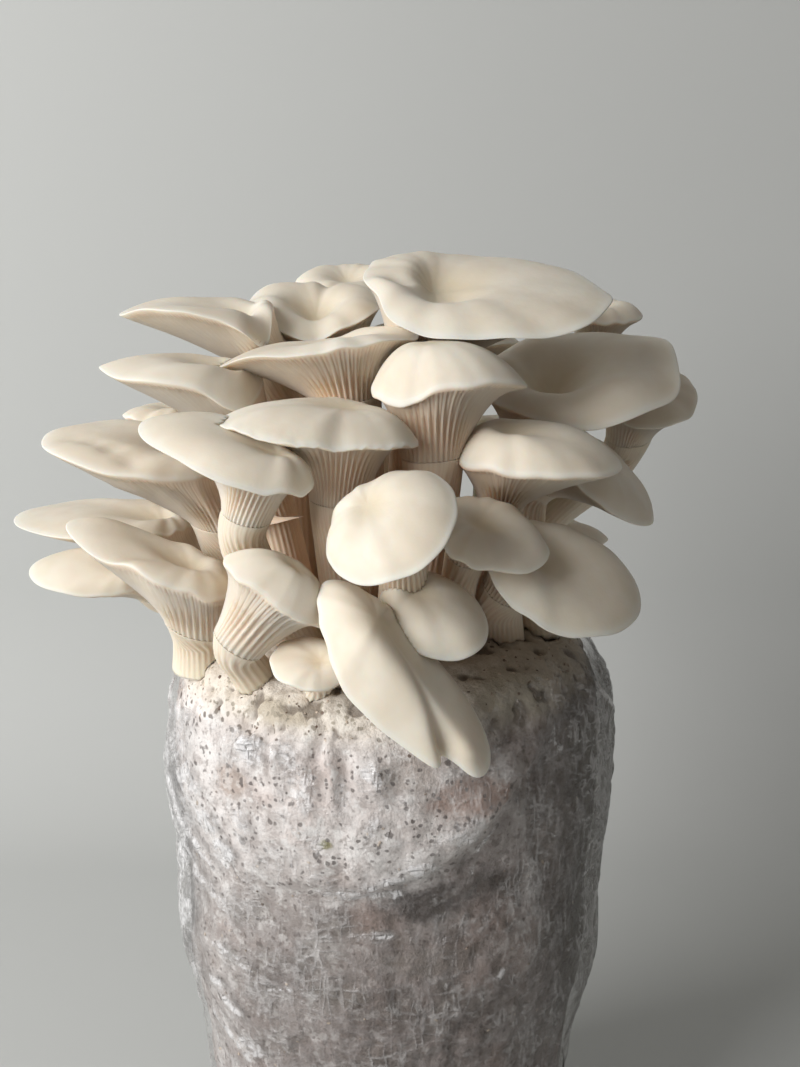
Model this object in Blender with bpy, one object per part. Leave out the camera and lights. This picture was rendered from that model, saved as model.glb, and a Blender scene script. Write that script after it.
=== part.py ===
"""A bag of growing medium with a cluster of oyster mushrooms fruiting from its open top.

Frame: metres, +Z up, origin at the middle of the bag's flat base, the front of the cluster at -Y.
The tables below are in millimetres and degrees.
"""
import math

import bpy
import bmesh
import numpy as np
from mathutils import Matrix, Vector
from mathutils.bvhtree import BVHTree

MM = 0.001
GAP = 0.3            # clearance between pieces that touch
CAP_COLUMNS = 12     # points round the edge of a cap
STEM_COLUMNS = 6     # sides of a stem
BAG_COLUMNS = 16     # sides of the bag
FOOT_HEIGHT = 209.0  # the stems start this high inside the block's dome, and the dome is cut round them
FILM = 0.5           # modelled wall of the film
FLESH = 2.4          # thickness of a cap near its edge
RIM_ALLOWANCE = 1.015  # the few-sided edge goes this much further out, so the round one fits inside it

# Height and radius of the block: flat base, rounded foot, slight waist, widest under the shoulder.
BLOCK_PROFILE = (
    (0.6, 48.0), (4.0, 55.5), (14.0, 58.0), (62.0, 59.2), (90.0, 62.6), (110.0, 65.6), (150.0, 66.2),
    (182.0, 68.2), (197.0, 67.2), (206.0, 64.6), (212.0, 61.0), (216.0, 55.0), (218.5, 45.0),
    (220.0, 28.0),
)
FILM_TOP = 9         # the film reaches this point of the profile

# Each cap: the spot where the stem joins it; the way it reaches out (heading, droop, roll); how far
# it reaches ahead, behind and to each side; its dome, hollow, hollow width and turned-down lip; the
# depth of its gill side, the radius of its neck and how late it narrows to it; how far the neck stands
# off ahead and to the side. Lobes and waves go all round the edge as (count, size, phase). Notches and
# lifts change one stretch of it as (direction, width, size).
CAPS = {}


def cap(name, at, turn, size, form, bell, lean=(0, 0), lobes=(), waves=(), notches=(), lifts=()):
    """Note one cap in the table."""
    CAPS[name] = dict(at=at, turn=turn, size=size, form=form, bell=bell, lean=lean, lobes=lobes,
                      waves=waves, notches=notches, lifts=lifts)


cap("crown", (15, 5, 322.5), (0, 6, 18), (51, 22, 34), (1, 10, 0.28, 3), (26, 12, 1.8),
    lobes=((3, 0.04, 40),), waves=((2, 2, 0),),
    notches=((-138, 14, -0.08), (-84, 10, 0.03), (-15, 12, -0.03), (28, 25, -0.03)),
    lifts=((-100, 26, -2.4),))
cap("crown_left", (-23, 25.5, 313), (180, 0, -24), (22, 21, 18), (0, 6, 0.4, 2), (20, 9, 1.6),
    waves=((4, 1.3, 200),), lifts=((-105, 14, -2.5), (-70, 30, -1)))
cap("crown_back", (-14, 62, 319), (180, 0, -18), (18, 18, 16), (2, 4, 0.4, 3), (20, 7, 1.5))
cap("left_high", (-43, 12, 313), (180, -1, -3), (37, 9, 19), (1, 5, 0.4, 2), (20, 8, 1.3),
    lean=(-8, 0),
    waves=((2, 1.5, 0),), notches=((112, 28, 0.5),),
    lifts=((0, 20, -2.2), (-75, 32, 2.6), (58, 26, 2.6), (118, 22, -7.5)))
cap("middle_high", (-14, -10.5, 306), (180, 9, -4), (36, 23, 18), (1, 5, 0.35, 2), (18, 10, 1.5),
    waves=((2, -1.5, 0),), lifts=((28, 20, 2.6), (-75, 40, -2)))
cap("left_upper", (-43.4, -14, 295.8), (180, -6, -3), (37.6, 8.5, 18), (5, 6, 0.35, 3), (20, 7.5, 1.3),
    lean=(-7, 0),
    waves=((2, 2, -90),), notches=((108, 30, 0.25),), lifts=((105, 30, -4),))
cap("left_back", (-66, 22, 280), (170, 0, 0), (18, 10, 14), (2, 3, 0.4, 2), (16, 6.5, 1.4),
    lean=(-3, 0))
cap("middle", (12, -25, 296), (0, -3, 2), (27.3, 16.2, 15), (11, 1.5, 0.3, 3), (22, 9, 2.2),
    lifts=((-128, 26, -2.4), (-48, 32, 2.8)))
cap("front_high", (-11, -36, 285.5), (180, -5, -3), (34, 20, 20), (6, 2, 0.35, 3), (22, 8, 3),
    lobes=((3, 0.07, -90),), lifts=((30, 18, 1.4),))
cap("left_front", (-28.3, -52, 278.3), (165, -18, -8), (39.3, 11.8, 15.7), (4, 2, 0.3, 4), (18, 6.8, 3.2),
    lean=(4, 0),
    notches=((28, 22, -0.1), (-98, 44, -0.36)), lifts=((-20, 20, 1.5),))
cap("left_outer", (-56, -12, 272), (175, -8, -5), (46, 9.5, 21), (3, 5, 0.3, 3), (20, 8.5, 1.2),
    lean=(-9, 0),
    notches=((12, 12, -0.03),), lifts=((-38, 30, 3.4), (26, 16, 1.4)))
cap("left_lower", (-69, 5, 249), (180, -2, -3), (46, 9, 20), (2, 4, 0.3, 1.5), (14, 7.5, 1.3),
    lean=(-8, 0))
cap("left_low", (-54, -33, 244.7), (172, -18, -3), (40, 13, 15), (2, 4, 0.3, 3), (21, 9.5, 1.3),
    lean=(-4, -7),
    notches=((26, 24, -0.2), (140, 25, 0.06)), lifts=((45, 26, 2.6), (140, 30, -1.5)))
cap("left_tucked", (-75, -17, 239), (184, -2, -30), (30, 7, 10), (3, 2, 0.3, 2), (10, 5, 1.5),
    lean=(-5, 0))
cap("front_left", (-26, -56, 245.5), (180, -32, -6), (18, 14, 10), (8, 2, 0.3, 2), (24, 7.5, 2),
    lean=(2, -6),
    notches=((60, 40, -0.15),), lifts=((175, 40, -2),))
cap("front_round", (-3, -62, 267), (-50, 9, 40), (24, 13, 18), (5, 2, 0.3, 3), (12, 7, 2),
    notches=((150, 28, -0.08),))
cap("front_tongue", (-4, -62, 236.5), (-22, 46, 30), (45, 17, 12.5), (6, 0, 0.2, 3), (10, 6.5, 1.5),
    lobes=((1, 0.08, 75),), notches=((-62, 40, 0.24),))
cap("front_bud", (-17, -57, 224.5), (170, -8, -30), (14, 8, 9), (2, 1, 0.3, 1), (7, 4, 1.5))
cap("front_small", (8, -50.5, 241.5), (-35, 25, 24), (23, 9, 13), (4, 2, 0.3, 3), (10, 5.5, 1.5))
cap("right_mid", (34, -24, 276.5), (0, 3, 8), (33, 15, 19), (8, 4, 0.35, 3.4), (17, 6.5, 1.3),
    lifts=((-75, 60, 1.4),))
cap("right_high", (51, 20, 292), (0, -4, 24), (45, 23, 29), (3, 10, 0.38, 4), (20, 11, 1.6),
    lean=(-4, -4),
    notches=((2, 16, -0.08), (-35, 24, -0.1)), lifts=((16, 14, 3.4), (-125, 40, 3)))
cap("right_behind", (85, 44, 283), (0, -6, 24), (18, 14, 20), (2, 4, 0.35, 3), (18, 8, 1.6),
    lean=(-4, 0))
cap("crown_right", (72, 60, 309), (0, 0, 10), (15, 14, 12), (2, 3, 0.35, 3), (12, 6.5, 1.5))
cap("right_inner", (25, -44, 259.4), (-10, 20, 27), (21, 13, 14), (3, 3, 0.3, 3), (12, 6, 1.5),
    lifts=((-45, 35, 2),))
cap("right_low", (39.5, -37, 248), (8, 21, 34), (36, 12, 19), (3, 3, 0.3, 4), (14, 7.5, 2.4),
    notches=((50, 40, 0.14), (-100, 35, 0.1)))
cap("right_drop", (61, 3, 269), (0, 38, 18), (30, 15, 18), (3, 3, 0.3, 3), (16, 7.5, 1.4),
    lean=(-5, 0))
cap("back_high", (18, 58, 301), (80, 4, 4), (34, 16, 27), (2, 6, 0.3, 3), (24, 11, 1.6), lean=(-5, 0))
cap("back_left", (-38, 54, 287), (130, 6, 0), (34, 13, 23), (2, 5, 0.3, 3), (22, 9.5, 1.5),
    lean=(-6, 0))
cap("back_mid", (-6, 74, 265), (100, 10, 4), (34, 14, 24), (2, 5, 0.3, 3), (20, 9.5, 1.5), lean=(-6, 0))
cap("back_right", (44, 68, 268), (60, 8, 0), (34, 14, 23), (2, 5, 0.3, 3), (22, 9.5, 1.5), lean=(-6, 0))
cap("back_low_left", (-55, 47, 248), (140, 14, 0), (32, 11, 20), (3, 4, 0.3, 3), (18, 8, 1.5),
    lean=(-5, 0))
cap("back_low", (12, 73, 238), (95, 20, 0), (32, 11, 20), (3, 4, 0.3, 3), (14, 6.5, 1.5), lean=(-5, 0))
cap("back_low_right", (54, 40, 238), (20, 12, 0), (23, 10, 14), (3, 4, 0.3, 3), (11, 6.5, 1.5),
    lean=(-4, 0))

# Each stem: the foot on the block (x, y, radius), the cap at its top and, on a forked stem, a second cap
# and how far down the first stem the fork is.
STEMS = {
    "crown": (10, 2, 11, "crown", None, 0),
    "crown_left": (-10, 22, 9, "crown_left", "crown_back", 0.5),
    "left_high": (-27, 16, 8.5, "left_high", "left_back", 0.5),
    "middle_high": (-9, -1, 9, "middle_high", None, 0),
    "left_upper": (-27, -5, 8, "left_upper", None, 0),
    "middle": (7, -16, 8.5, "middle", None, 0),
    "front_high": (-10, -20, 8.5, "front_high", None, 0),
    "left_front": (-23, -22, 7, "left_front", None, 0),
    "left_outer": (-43, -8, 8, "left_outer", None, 0),
    "left_lower": (-52, 10, 8, "left_lower", "left_tucked", 0.6),
    "left_low": (-56, -21, 8, "left_low", None, 0),
    "front_left": (-36, -38, 6.5, "front_left", None, 0),
    "front_round": (3, -30, 8, "front_round", "front_small", 0.72),
    "front_tongue": (-10, -43, 7, "front_tongue", None, 0),
    "front_bud": (-20, -48, 4, "front_bud", None, 0),
    "right_mid": (24, -14, 9, "right_mid", None, 0),
    "right_inner": (19, -26, 6, "right_inner", None, 0),
    "right_high": (25, 14, 10, "right_high", "crown_right", 0.4),
    "right_low": (35, -12, 7.5, "right_low", None, 0),
    "right_drop": (47, -6, 8, "right_drop", "right_behind", 0.5),
    "back_high": (8, 28, 10, "back_high", "back_mid", 0.6),
    "back_left": (-29, 42, 8, "back_left", None, 0),
    "back_right": (32, 32, 9, "back_right", "back_low_right", 0.72),
    "back_low_left": (-42, 30, 8, "back_low_left", None, 0),
    "back_low": (12, 49, 8, "back_low", None, 0),
}


def cap_frame(entry):
    """The cap's own axes: X reaches out, Y goes sideways, Z is its upper side."""
    heading, droop, roll = (math.radians(a) for a in entry["turn"])
    turn = Matrix.Rotation(heading, 3, "Z") @ Matrix.Rotation(droop, 3, "Y")
    turn = turn @ Matrix.Rotation(roll, 3, "X")
    return np.array(turn), np.array(entry["at"], dtype=float)


def stretch(angle, direction, width):
    """1 in a direction, fading to 0 beyond a width, all in degrees except the angle."""
    away = (np.degrees(angle) - direction + 180.0) % 360.0 - 180.0
    return np.exp(-(away / width) ** 2)


def reach(entry, angle):
    """Distance from the stem's axis to the edge, an off-centre ellipse with lobes and notches."""
    front, back, half = entry["size"]
    middle = 0.5 * (front - back)
    long = 0.5 * (front + back)
    c, s = np.cos(angle), np.sin(angle)
    a = c * c / long ** 2 + s * s / half ** 2
    b = -2.0 * middle * c / long ** 2
    k = middle ** 2 / long ** 2 - 1.0
    out = (-b + np.sqrt(b * b - 4.0 * a * k)) / (2.0 * a)
    for count, size, phase in entry["lobes"]:
        out = out * (1.0 + size * np.cos(count * angle + math.radians(phase)))
    for direction, width, size in entry["notches"]:
        out = out * (1.0 + size * stretch(angle, direction, width))
    return out


def spread(entry, count):
    """Directions from the stem's axis that meet the edge at evenly spaced points."""
    front, back, half = entry["size"]
    turn = np.arange(count) * (2.0 * math.pi / count)
    x = 0.5 * (front - back) + 0.5 * (front + back) * np.cos(turn)
    return np.arctan2(half * np.sin(turn), x)


def wave(entry, angle):
    """Up and down of the edge."""
    out = np.zeros_like(angle)
    for count, size, phase in entry["waves"]:
        out = out + size * np.cos(count * angle + math.radians(phase))
    for direction, width, size in entry["lifts"]:
        out = out + size * stretch(angle, direction, width)
    return out


def top_point(entry, angle, s):
    """A point of the upper side, from the middle (s = 0) to the edge (s = 1)."""
    dome, hollow, width, lip = entry["form"]
    out = reach(entry, angle) * s
    z = dome * (1.0 - s * s) - hollow * np.exp(-(s / width) ** 2) - lip * s ** 6
    z = z + wave(entry, angle) * s * s
    return np.stack([out * np.cos(angle), out * np.sin(angle), z], axis=-1)


def under_point(entry, angle, t):
    """A point of the underside, from the neck (t = 0) to the edge (t = 1)."""
    lip = entry["form"][3]
    depth, neck, power = entry["bell"]
    edge = reach(entry, angle)
    out = neck + (edge - neck) * t
    flat = FLESH * (1.0 - t ** 8)
    z = (wave(entry, angle) - lip) * t ** 3 - flat - (depth - FLESH) * (1.0 - t) ** power
    ahead, aside = entry["lean"]
    drift = (1.0 - t) ** 1.3
    return np.stack([out * np.cos(angle) + ahead * drift, out * np.sin(angle) + aside * drift, z], axis=-1)


def new_material(name, color, roughness):
    """A plain material for one piece."""
    material = bpy.data.materials.new(name)
    material.use_nodes = True
    shader = material.node_tree.nodes["Principled BSDF"]
    shader.inputs["Base Color"].default_value = (*color, 1.0)
    shader.inputs["Roughness"].default_value = roughness
    shader.inputs["Metallic"].default_value = 0.0
    return material


def add_object(name, bm, color, roughness):
    """Turn a finished bmesh, in millimetres, into a named object in metres."""
    bmesh.ops.triangulate(bm, faces=[f for f in bm.faces if len(f.verts) > 4])
    bmesh.ops.recalc_face_normals(bm, faces=bm.faces)
    mesh = bpy.data.meshes.new(name)
    bm.to_mesh(mesh)
    bm.free()
    mesh.transform(Matrix.Scale(MM, 4))
    mesh.shade_smooth()
    mesh.set_sharp_from_angle(angle=math.radians(50))
    mesh.materials.append(new_material(name, color, roughness))
    obj = bpy.data.objects.new(name, mesh)
    bpy.context.scene.collection.objects.link(obj)
    return obj


def skin(bm, rings, close_start=True, close_end=True):
    """Join rings of points into one closed skin; a single point closes an end as a fan."""
    made = [[bm.verts.new(Vector(p)) for p in ring] for ring in rings]
    for lower, upper in zip(made[:-1], made[1:]):
        count = max(len(lower), len(upper))
        for i in range(count):
            j = (i + 1) % count
            if len(lower) == 1:
                bm.faces.new((lower[0], upper[i], upper[j]))
            elif len(upper) == 1:
                bm.faces.new((lower[i], lower[j], upper[0]))
            else:
                bm.faces.new((lower[i], lower[j], upper[j], upper[i]))
    if close_start and len(made[0]) > 1:
        bm.faces.new(made[0][::-1])
    if close_end and len(made[-1]) > 1:
        bm.faces.new(made[-1])
    return made


def build_cap(name, entry):
    """One cap: a shallow funnel with a rounded edge, its gill side narrowing to the neck."""
    axes, at = cap_frame(entry)
    angle = spread(entry, CAP_COLUMNS)
    rings = [top_point(entry, np.zeros(1), 0.0)]
    for s in (0.30, 0.66, 0.93):
        rings.append(top_point(entry, angle, s))
    rim = top_point(entry, angle, 1.0)
    rim[:, :2] *= RIM_ALLOWANCE
    rim[:, 2] -= 0.9
    rings.append(rim)
    for t in (0.90, 0.45, 0.0):
        rings.append(under_point(entry, angle, t))
    bm = bmesh.new()
    skin(bm, [ring @ axes.T + at for ring in rings])
    return add_object("cap_" + name, bm, (0.80, 0.74, 0.66), 0.55)


def bezier(points, t):
    """A point and a direction on a cubic curve."""
    p0, p1, p2, p3 = points
    u = 1.0 - t
    place = u ** 3 * p0 + 3 * u * u * t * p1 + 3 * u * t * t * p2 + t ** 3 * p3
    way = 3 * u * u * (p1 - p0) + 6 * u * t * (p2 - p1) + 3 * t * t * (p3 - p2)
    return place, way / np.linalg.norm(way)


def neck_end(entry):
    """Where the stem starts under the cap, and the way it sets off."""
    axes, at = cap_frame(entry)
    ahead, aside = entry["lean"]
    start = at + axes @ np.array([ahead, aside, -(entry["bell"][0] + GAP)])
    way = axes @ np.array([ahead, aside, -0.8 * entry["bell"][0]])
    return start, way / np.linalg.norm(way)


def stem_path(entry, foot):
    """The curve from the neck under a cap down to the foot on the block."""
    start, way = neck_end(entry)
    end = np.array([foot[0], foot[1], FOOT_HEIGHT])
    span = np.linalg.norm(end - start)
    first = start + way * span * 0.25
    lean = np.array([start[0] - end[0], start[1] - end[1], 0.0]) * 0.12
    last = end + np.array([0.0, 0.0, span * 0.34]) + lean
    return start, first, last, end


def stem_rings(entry, foot, steps, flat_foot):
    """Rings of one stem: as wide as the neck at the top, soon narrowing to a waist, wider at the foot."""
    axes = cap_frame(entry)[0]
    neck = entry["bell"][1]
    curve = stem_path(entry, foot)
    side = axes[:, 0]
    rings = []
    turn = np.arange(STEM_COLUMNS) * (2.0 * math.pi / STEM_COLUMNS)
    for t in steps:
        place, way = bezier(curve, t)
        if t == 0.0:
            way = -axes[:, 2]
        if flat_foot and t == 1.0:
            way = np.array([0.0, 0.0, -1.0])
        side = side - way * (side @ way)
        side = side / np.linalg.norm(side)
        other = np.cross(way, side)
        waist = min(neck, foot[2]) * 0.94
        width = waist + (neck - waist) * (1 - t) ** 3 + (foot[2] - waist) * t * t
        rings.append([place + width * (math.cos(a) * side + math.sin(a) * other) for a in turn])
    return rings


def join_solids(keep, extra, operation):
    """Join a second solid to the first, or cut it away, and drop the second."""
    change = keep.modifiers.new("join", "BOOLEAN")
    change.operation = operation
    change.solver = "EXACT"
    change.object = extra
    bpy.context.view_layer.update()
    mesh = bpy.data.meshes.new_from_object(keep.evaluated_get(bpy.context.evaluated_depsgraph_get()))
    keep.modifiers.clear()
    keep.data = mesh
    bpy.data.objects.remove(extra)


def build_stem(name, row):
    """One stem, forked where it carries two caps."""
    x, y, radius, first, second, split = row
    foot = (x, y, radius)
    bm = bmesh.new()
    skin(bm, stem_rings(CAPS[first], foot, (0.0, 0.2, 0.55, 1.0), True))
    stem = add_object("stem_" + name, bm, (0.82, 0.76, 0.68), 0.6)
    if second:
        fork = bezier(stem_path(CAPS[first], foot), split)[0]
        branch = bmesh.new()
        skin(branch, stem_rings_to(CAPS[second], fork, radius * 0.6))
        arm = add_object("arm", branch, (0.82, 0.76, 0.68), 0.6)
        join_solids(stem, arm, "UNION")
    return stem


def stem_rings_to(entry, fork, radius):
    """Rings of the second arm of a forked stem, ending inside the first."""
    axes = cap_frame(entry)[0]
    neck = entry["bell"][1]
    start, first_way = neck_end(entry)
    span = np.linalg.norm(fork - start)
    last = fork + (start - fork) * 0.24 + np.array([0.0, 0.0, span * 0.1])
    curve = (start, start + first_way * span * 0.34, last, fork)
    side = axes[:, 0]
    rings = []
    turn = np.arange(STEM_COLUMNS) * (2.0 * math.pi / STEM_COLUMNS)
    for t in (0.0, 0.35, 1.0):
        place, way = bezier(curve, t)
        if t == 0.0:
            way = -axes[:, 2]
        side = side - way * (side @ way)
        side = side / np.linalg.norm(side)
        other = np.cross(way, side)
        width = radius + (neck - radius) * (1 - t) ** 2
        rings.append([place + width * (math.cos(a) * side + math.sin(a) * other) for a in turn])
    return rings


def block_ring(radius, height):
    """One ring of the bag or the block."""
    turn = np.arange(BAG_COLUMNS) * (2.0 * math.pi / BAG_COLUMNS)
    return [(radius * math.cos(a), radius * math.sin(a), height) for a in turn]


def build_block():
    """The block of growing medium that fills the bag."""
    bm = bmesh.new()
    skin(bm, [block_ring(r, z) for z, r in BLOCK_PROFILE])
    return add_object("substrate", bm, (0.62, 0.57, 0.56), 0.9)


def build_bag():
    """The film sleeve: closed flat base, open top, a constant gap outside the block."""
    bm = bmesh.new()
    outer = [(0.0, 48.0)]
    inner = []
    for z, r in BLOCK_PROFILE[1:FILM_TOP + 1]:
        outer.append((z, r + GAP + FILM))
        inner.append((z, r + GAP))
    inner.insert(0, (0.3, 48.0))
    rings = [block_ring(r, z) for z, r in outer]
    rings += [block_ring(r, z) for z, r in reversed(inner)]
    skin(bm, rings)
    return add_object("bag", bm, (0.70, 0.67, 0.68), 0.25)


def swollen_copy(piece, distance):
    """A copy of a piece grown by a small distance, to cut its neighbour clear of it."""
    bm = bmesh.new()
    bm.from_mesh(piece.data)
    bmesh.ops.triangulate(bm, faces=bm.faces)
    bm.normal_update()
    moves = [v.normal * distance * MM * v.calc_shell_factor() for v in bm.verts]
    for v, move in zip(bm.verts, moves):
        v.co += move
    mesh = bpy.data.meshes.new("cutter")
    bm.to_mesh(mesh)
    bm.free()
    cutter = bpy.data.objects.new("cutter", mesh)
    cutter.hide_render = True
    cutter.display_type = "WIRE"
    bpy.context.scene.collection.objects.link(cutter)
    return cutter


def cut_clear(piece, neighbour):
    """Cut a piece back where it would run into its neighbour."""
    join_solids(piece, swollen_copy(neighbour, GAP), "DIFFERENCE")
    bm = bmesh.new()
    bm.from_mesh(piece.data)
    bmesh.ops.dissolve_degenerate(bm, dist=0.00002, edges=bm.edges)
    bmesh.ops.triangulate(bm, faces=bm.faces)
    bm.to_mesh(piece.data)
    bm.free()


def tree_of(piece):
    """A search tree of a piece's faces."""
    bm = bmesh.new()
    bm.from_mesh(piece.data)
    tree = BVHTree.FromBMesh(bm)
    bm.free()
    return tree


def part_pieces(pieces):
    """Cut each piece clear of the earlier pieces that it crosses."""
    trees = {piece.name: tree_of(piece) for piece in pieces}
    for i, piece in enumerate(pieces):
        for earlier in pieces[:i]:
            if trees[piece.name].overlap(trees[earlier.name]):
                print("cut", piece.name, "clear of", earlier.name)
                cut_clear(piece, earlier)
                trees[piece.name] = tree_of(piece)


def main():
    """Build every piece."""
    for old in list(bpy.data.objects):
        bpy.data.objects.remove(old)
    block = build_block()
    build_bag()
    stems = [build_stem(name, row) for name, row in STEMS.items()]
    caps = [build_cap(name, entry) for name, entry in CAPS.items()]
    part_pieces([block] + stems + caps)


main()
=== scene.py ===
"""The looks of the oyster mushroom grow bag: caps with gills, fluted stems, the overgrown block, its film."""
import math

import bmesh
import bpy
import numpy as np
from mathutils import Matrix, Vector, noise
from mathutils.bvhtree import BVHTree


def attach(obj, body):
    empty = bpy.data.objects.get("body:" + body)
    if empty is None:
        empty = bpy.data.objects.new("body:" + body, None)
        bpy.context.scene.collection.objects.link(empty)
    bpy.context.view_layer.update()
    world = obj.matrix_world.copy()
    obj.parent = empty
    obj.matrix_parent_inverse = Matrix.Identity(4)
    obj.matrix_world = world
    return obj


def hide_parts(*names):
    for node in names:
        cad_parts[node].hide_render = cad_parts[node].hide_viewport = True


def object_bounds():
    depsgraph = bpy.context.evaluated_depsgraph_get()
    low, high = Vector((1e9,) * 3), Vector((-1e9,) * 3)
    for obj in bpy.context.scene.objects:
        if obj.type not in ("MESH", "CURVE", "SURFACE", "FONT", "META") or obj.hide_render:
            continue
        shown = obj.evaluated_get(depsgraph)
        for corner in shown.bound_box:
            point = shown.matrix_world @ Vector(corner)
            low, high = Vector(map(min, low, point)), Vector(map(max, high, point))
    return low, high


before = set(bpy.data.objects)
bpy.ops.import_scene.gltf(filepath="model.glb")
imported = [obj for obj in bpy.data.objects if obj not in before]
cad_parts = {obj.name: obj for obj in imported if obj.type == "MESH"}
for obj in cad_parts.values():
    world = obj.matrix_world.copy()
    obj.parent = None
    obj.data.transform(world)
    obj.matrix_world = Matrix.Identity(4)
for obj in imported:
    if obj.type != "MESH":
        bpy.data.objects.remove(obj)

CAD_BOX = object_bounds()
MM = 0.001
GAP = 0.3              # clearance between pieces that touch
GILL_SPACING = 2.3     # between full-length gills, at the edge of a cap
FLESH = 2.4            # thickness of a cap near its edge
FOOT_HEIGHT = 209.0    # the stems run down to this height, inside the domed top of the block
BLOCK_COLUMNS = 340
FILM_COLUMNS = 304
FILM_ROWS = 132
FILM_WALL = 0.22       # thickness of the film
BAG_RADIUS = 65.0      # lengths along the bag's side are measured at this radius
SOCKET_WALL = 0.8      # between the neck's edge and the socket in the cap
SOCKET_DEPTH = 2.0
PLUG_WALL = 1.15       # between the neck's edge and the plug on the stem
PLUG_HEIGHT = 1.7
STEM_LIFT = 0.26       # how far the top of a stem stands up into the gap under its cap
SEAM_STEP = 0.1        # the last ring before a joint is this much smaller, so that the edge stays crisp
SEAT = 0.06            # between the foot of a stem and the block below it
ARM_SEED = 50          # added to a stem's seed for its second arm
PARTING = 0.08         # how much a neighbour is grown before it is cut out of a piece

# Where the rings of a cap lie, as shares of the way from its middle to its edge: upper side and gill side.
CAP_TOP = (0.07, 0.14, 0.20, 0.26, 0.32, 0.38, 0.44, 0.50, 0.56, 0.62, 0.68, 0.74, 0.80, 0.86, 0.91, 0.95)
CAP_UNDER = (0.955, 0.925, 0.885, 0.83, 0.76, 0.68, 0.59, 0.49, 0.39, 0.29, 0.20, 0.13, 0.06, 0.006, 0.0)

# The camera: focal length and height of the photograph's frame in pixels, place in metres, tilt in degrees.
FOCAL_PIXELS = 1200.0
FRAME_HEIGHT = 1067.0
CAMERA_PLACE = (0.004, -0.3555, 0.3401)
CAMERA_DOWN = 15.0

# The window light, in metres and watts, and the surround.
WINDOW_PLACE = (-0.98, -0.68, 0.75)
WINDOW_SIZE = (0.9, 0.9)
WINDOW_POWER = 20.0
SURROUND_COLOR = (0.86, 0.82, 0.77, 1.0)
SURROUND_STRENGTH = 0.19

# The sweep of floor and backdrop, in metres.
FLOOR_Z = -0.0005
SWEEP_HALF_WIDTH = 1.3
SWEEP_FRONT = -0.9
SWEEP_CORNER = 0.22
SWEEP_RADIUS = 0.12
SWEEP_TOP = 1.1

# Height and radius of the block.
BLOCK_PROFILE = (
    (0.6, 48.0), (4.0, 55.5), (14.0, 58.0), (62.0, 59.2), (90.0, 62.6), (110.0, 65.6), (150.0, 66.2),
    (182.0, 68.2), (197.0, 67.2), (206.0, 64.6), (212.0, 61.0), (216.0, 55.0), (218.5, 45.0),
    (220.0, 28.0),
)

# Each cap: the spot where the stem joins it; the way it reaches out (heading, droop, roll); how far
# it reaches ahead, behind and to each side; its dome, hollow, hollow width and turned-down lip; the
# depth of its gill side, the radius of its neck and how late it narrows to it; how far the neck stands
# off ahead and to the side. Lobes and waves go all round the edge as (count, size, phase). Notches and
# lifts change one stretch of it as (direction, width, size). Bends raise or sink one spot of the cap as
# (x, y, width along x, width along y, height).
CAPS = {}


def cap(name, at, turn, size, form, bell, lean=(0, 0), lobes=(), waves=(), notches=(), lifts=(), bends=(),
        frill=0.0):
    """Note one cap in the table."""
    CAPS[name] = dict(at=at, turn=turn, size=size, form=form, bell=bell, lean=lean, lobes=lobes, waves=waves,
                      notches=notches, lifts=lifts, bends=bends, frill=frill, seed=len(CAPS) + 1)


cap("crown", (15, 5, 322.5), (0, 6, 18), (51, 22, 34), (1, 10, 0.28, 3), (26, 12, 1.8),
    lobes=((3, 0.04, 40),), waves=((2, 2, 0),),
    notches=((-138, 14, -0.08), (-84, 10, 0.03), (-15, 12, -0.03), (28, 25, -0.03)),
    lifts=((-100, 26, -2.4),),
    bends=((2, 0, 12, 10, 4), (1, -10, 9, 6, -5), (-11, -6, 5, 4, -3), (-16, -10, 5, 4, 1.5)))
cap("crown_left", (-23, 25.5, 313), (180, 0, -24), (22, 21, 18), (0, 6, 0.4, 2), (20, 9, 1.6),
    waves=((4, 0.7, 200),), lifts=((-105, 14, -1.5), (-70, 30, -0.5)),
    bends=((12, 3, 9, 10, 3.2), (-13, 4, 9, 10, 3.2), (-1, 5, 5, 9, -1.6), (4, 15, 8, 6, -1.2)))
cap("crown_back", (-14, 62, 319), (180, 0, -18), (18, 18, 16), (2, 4, 0.4, 3), (20, 7, 1.5))
cap("left_high", (-43, 12, 313), (180, -1, -3), (37, 9, 19), (1, 5, 0.4, 2), (20, 8, 1.3),
    lean=(-8, 0),
    waves=((2, 1.5, 0),), notches=((112, 28, 0.5),),
    lifts=((0, 20, -2.2), (-75, 32, 2.6), (58, 26, 2.6), (118, 22, -7.5)))
cap("middle_high", (-14, -10.5, 306), (180, 9, -4), (36, 23, 18), (1, 5, 0.35, 2), (18, 10, 1.5),
    waves=((2, -1.5, 0),), lifts=((28, 20, 2.6), (-75, 40, -2)), bends=((4, -15, 22, 8, -2.6),))
cap("left_upper", (-43.4, -14, 295.8), (180, -6, -3), (37.6, 8.5, 18), (5, 6, 0.35, 3), (20, 7.5, 1.3),
    lean=(-7, 0),
    waves=((2, 2, -90),), notches=((108, 30, 0.25),), lifts=((105, 30, -4),))
cap("left_back", (-66, 22, 280), (170, 0, 0), (18, 10, 14), (2, 3, 0.4, 2), (16, 6.5, 1.4),
    lean=(-3, 0))
cap("middle", (12, -25, 296), (0, -3, 2), (27.3, 16.2, 15), (11, 1.5, 0.3, 3), (22, 9, 2.2),
    lifts=((-128, 26, -2.4), (-48, 32, 2.8)))
cap("front_high", (-11, -36, 285.5), (180, -5, -3), (34, 20, 20), (6, 2, 0.35, 3), (22, 8, 3),
    lobes=((3, 0.07, -90),), lifts=((30, 18, 1.4),), frill=0.15)
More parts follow.
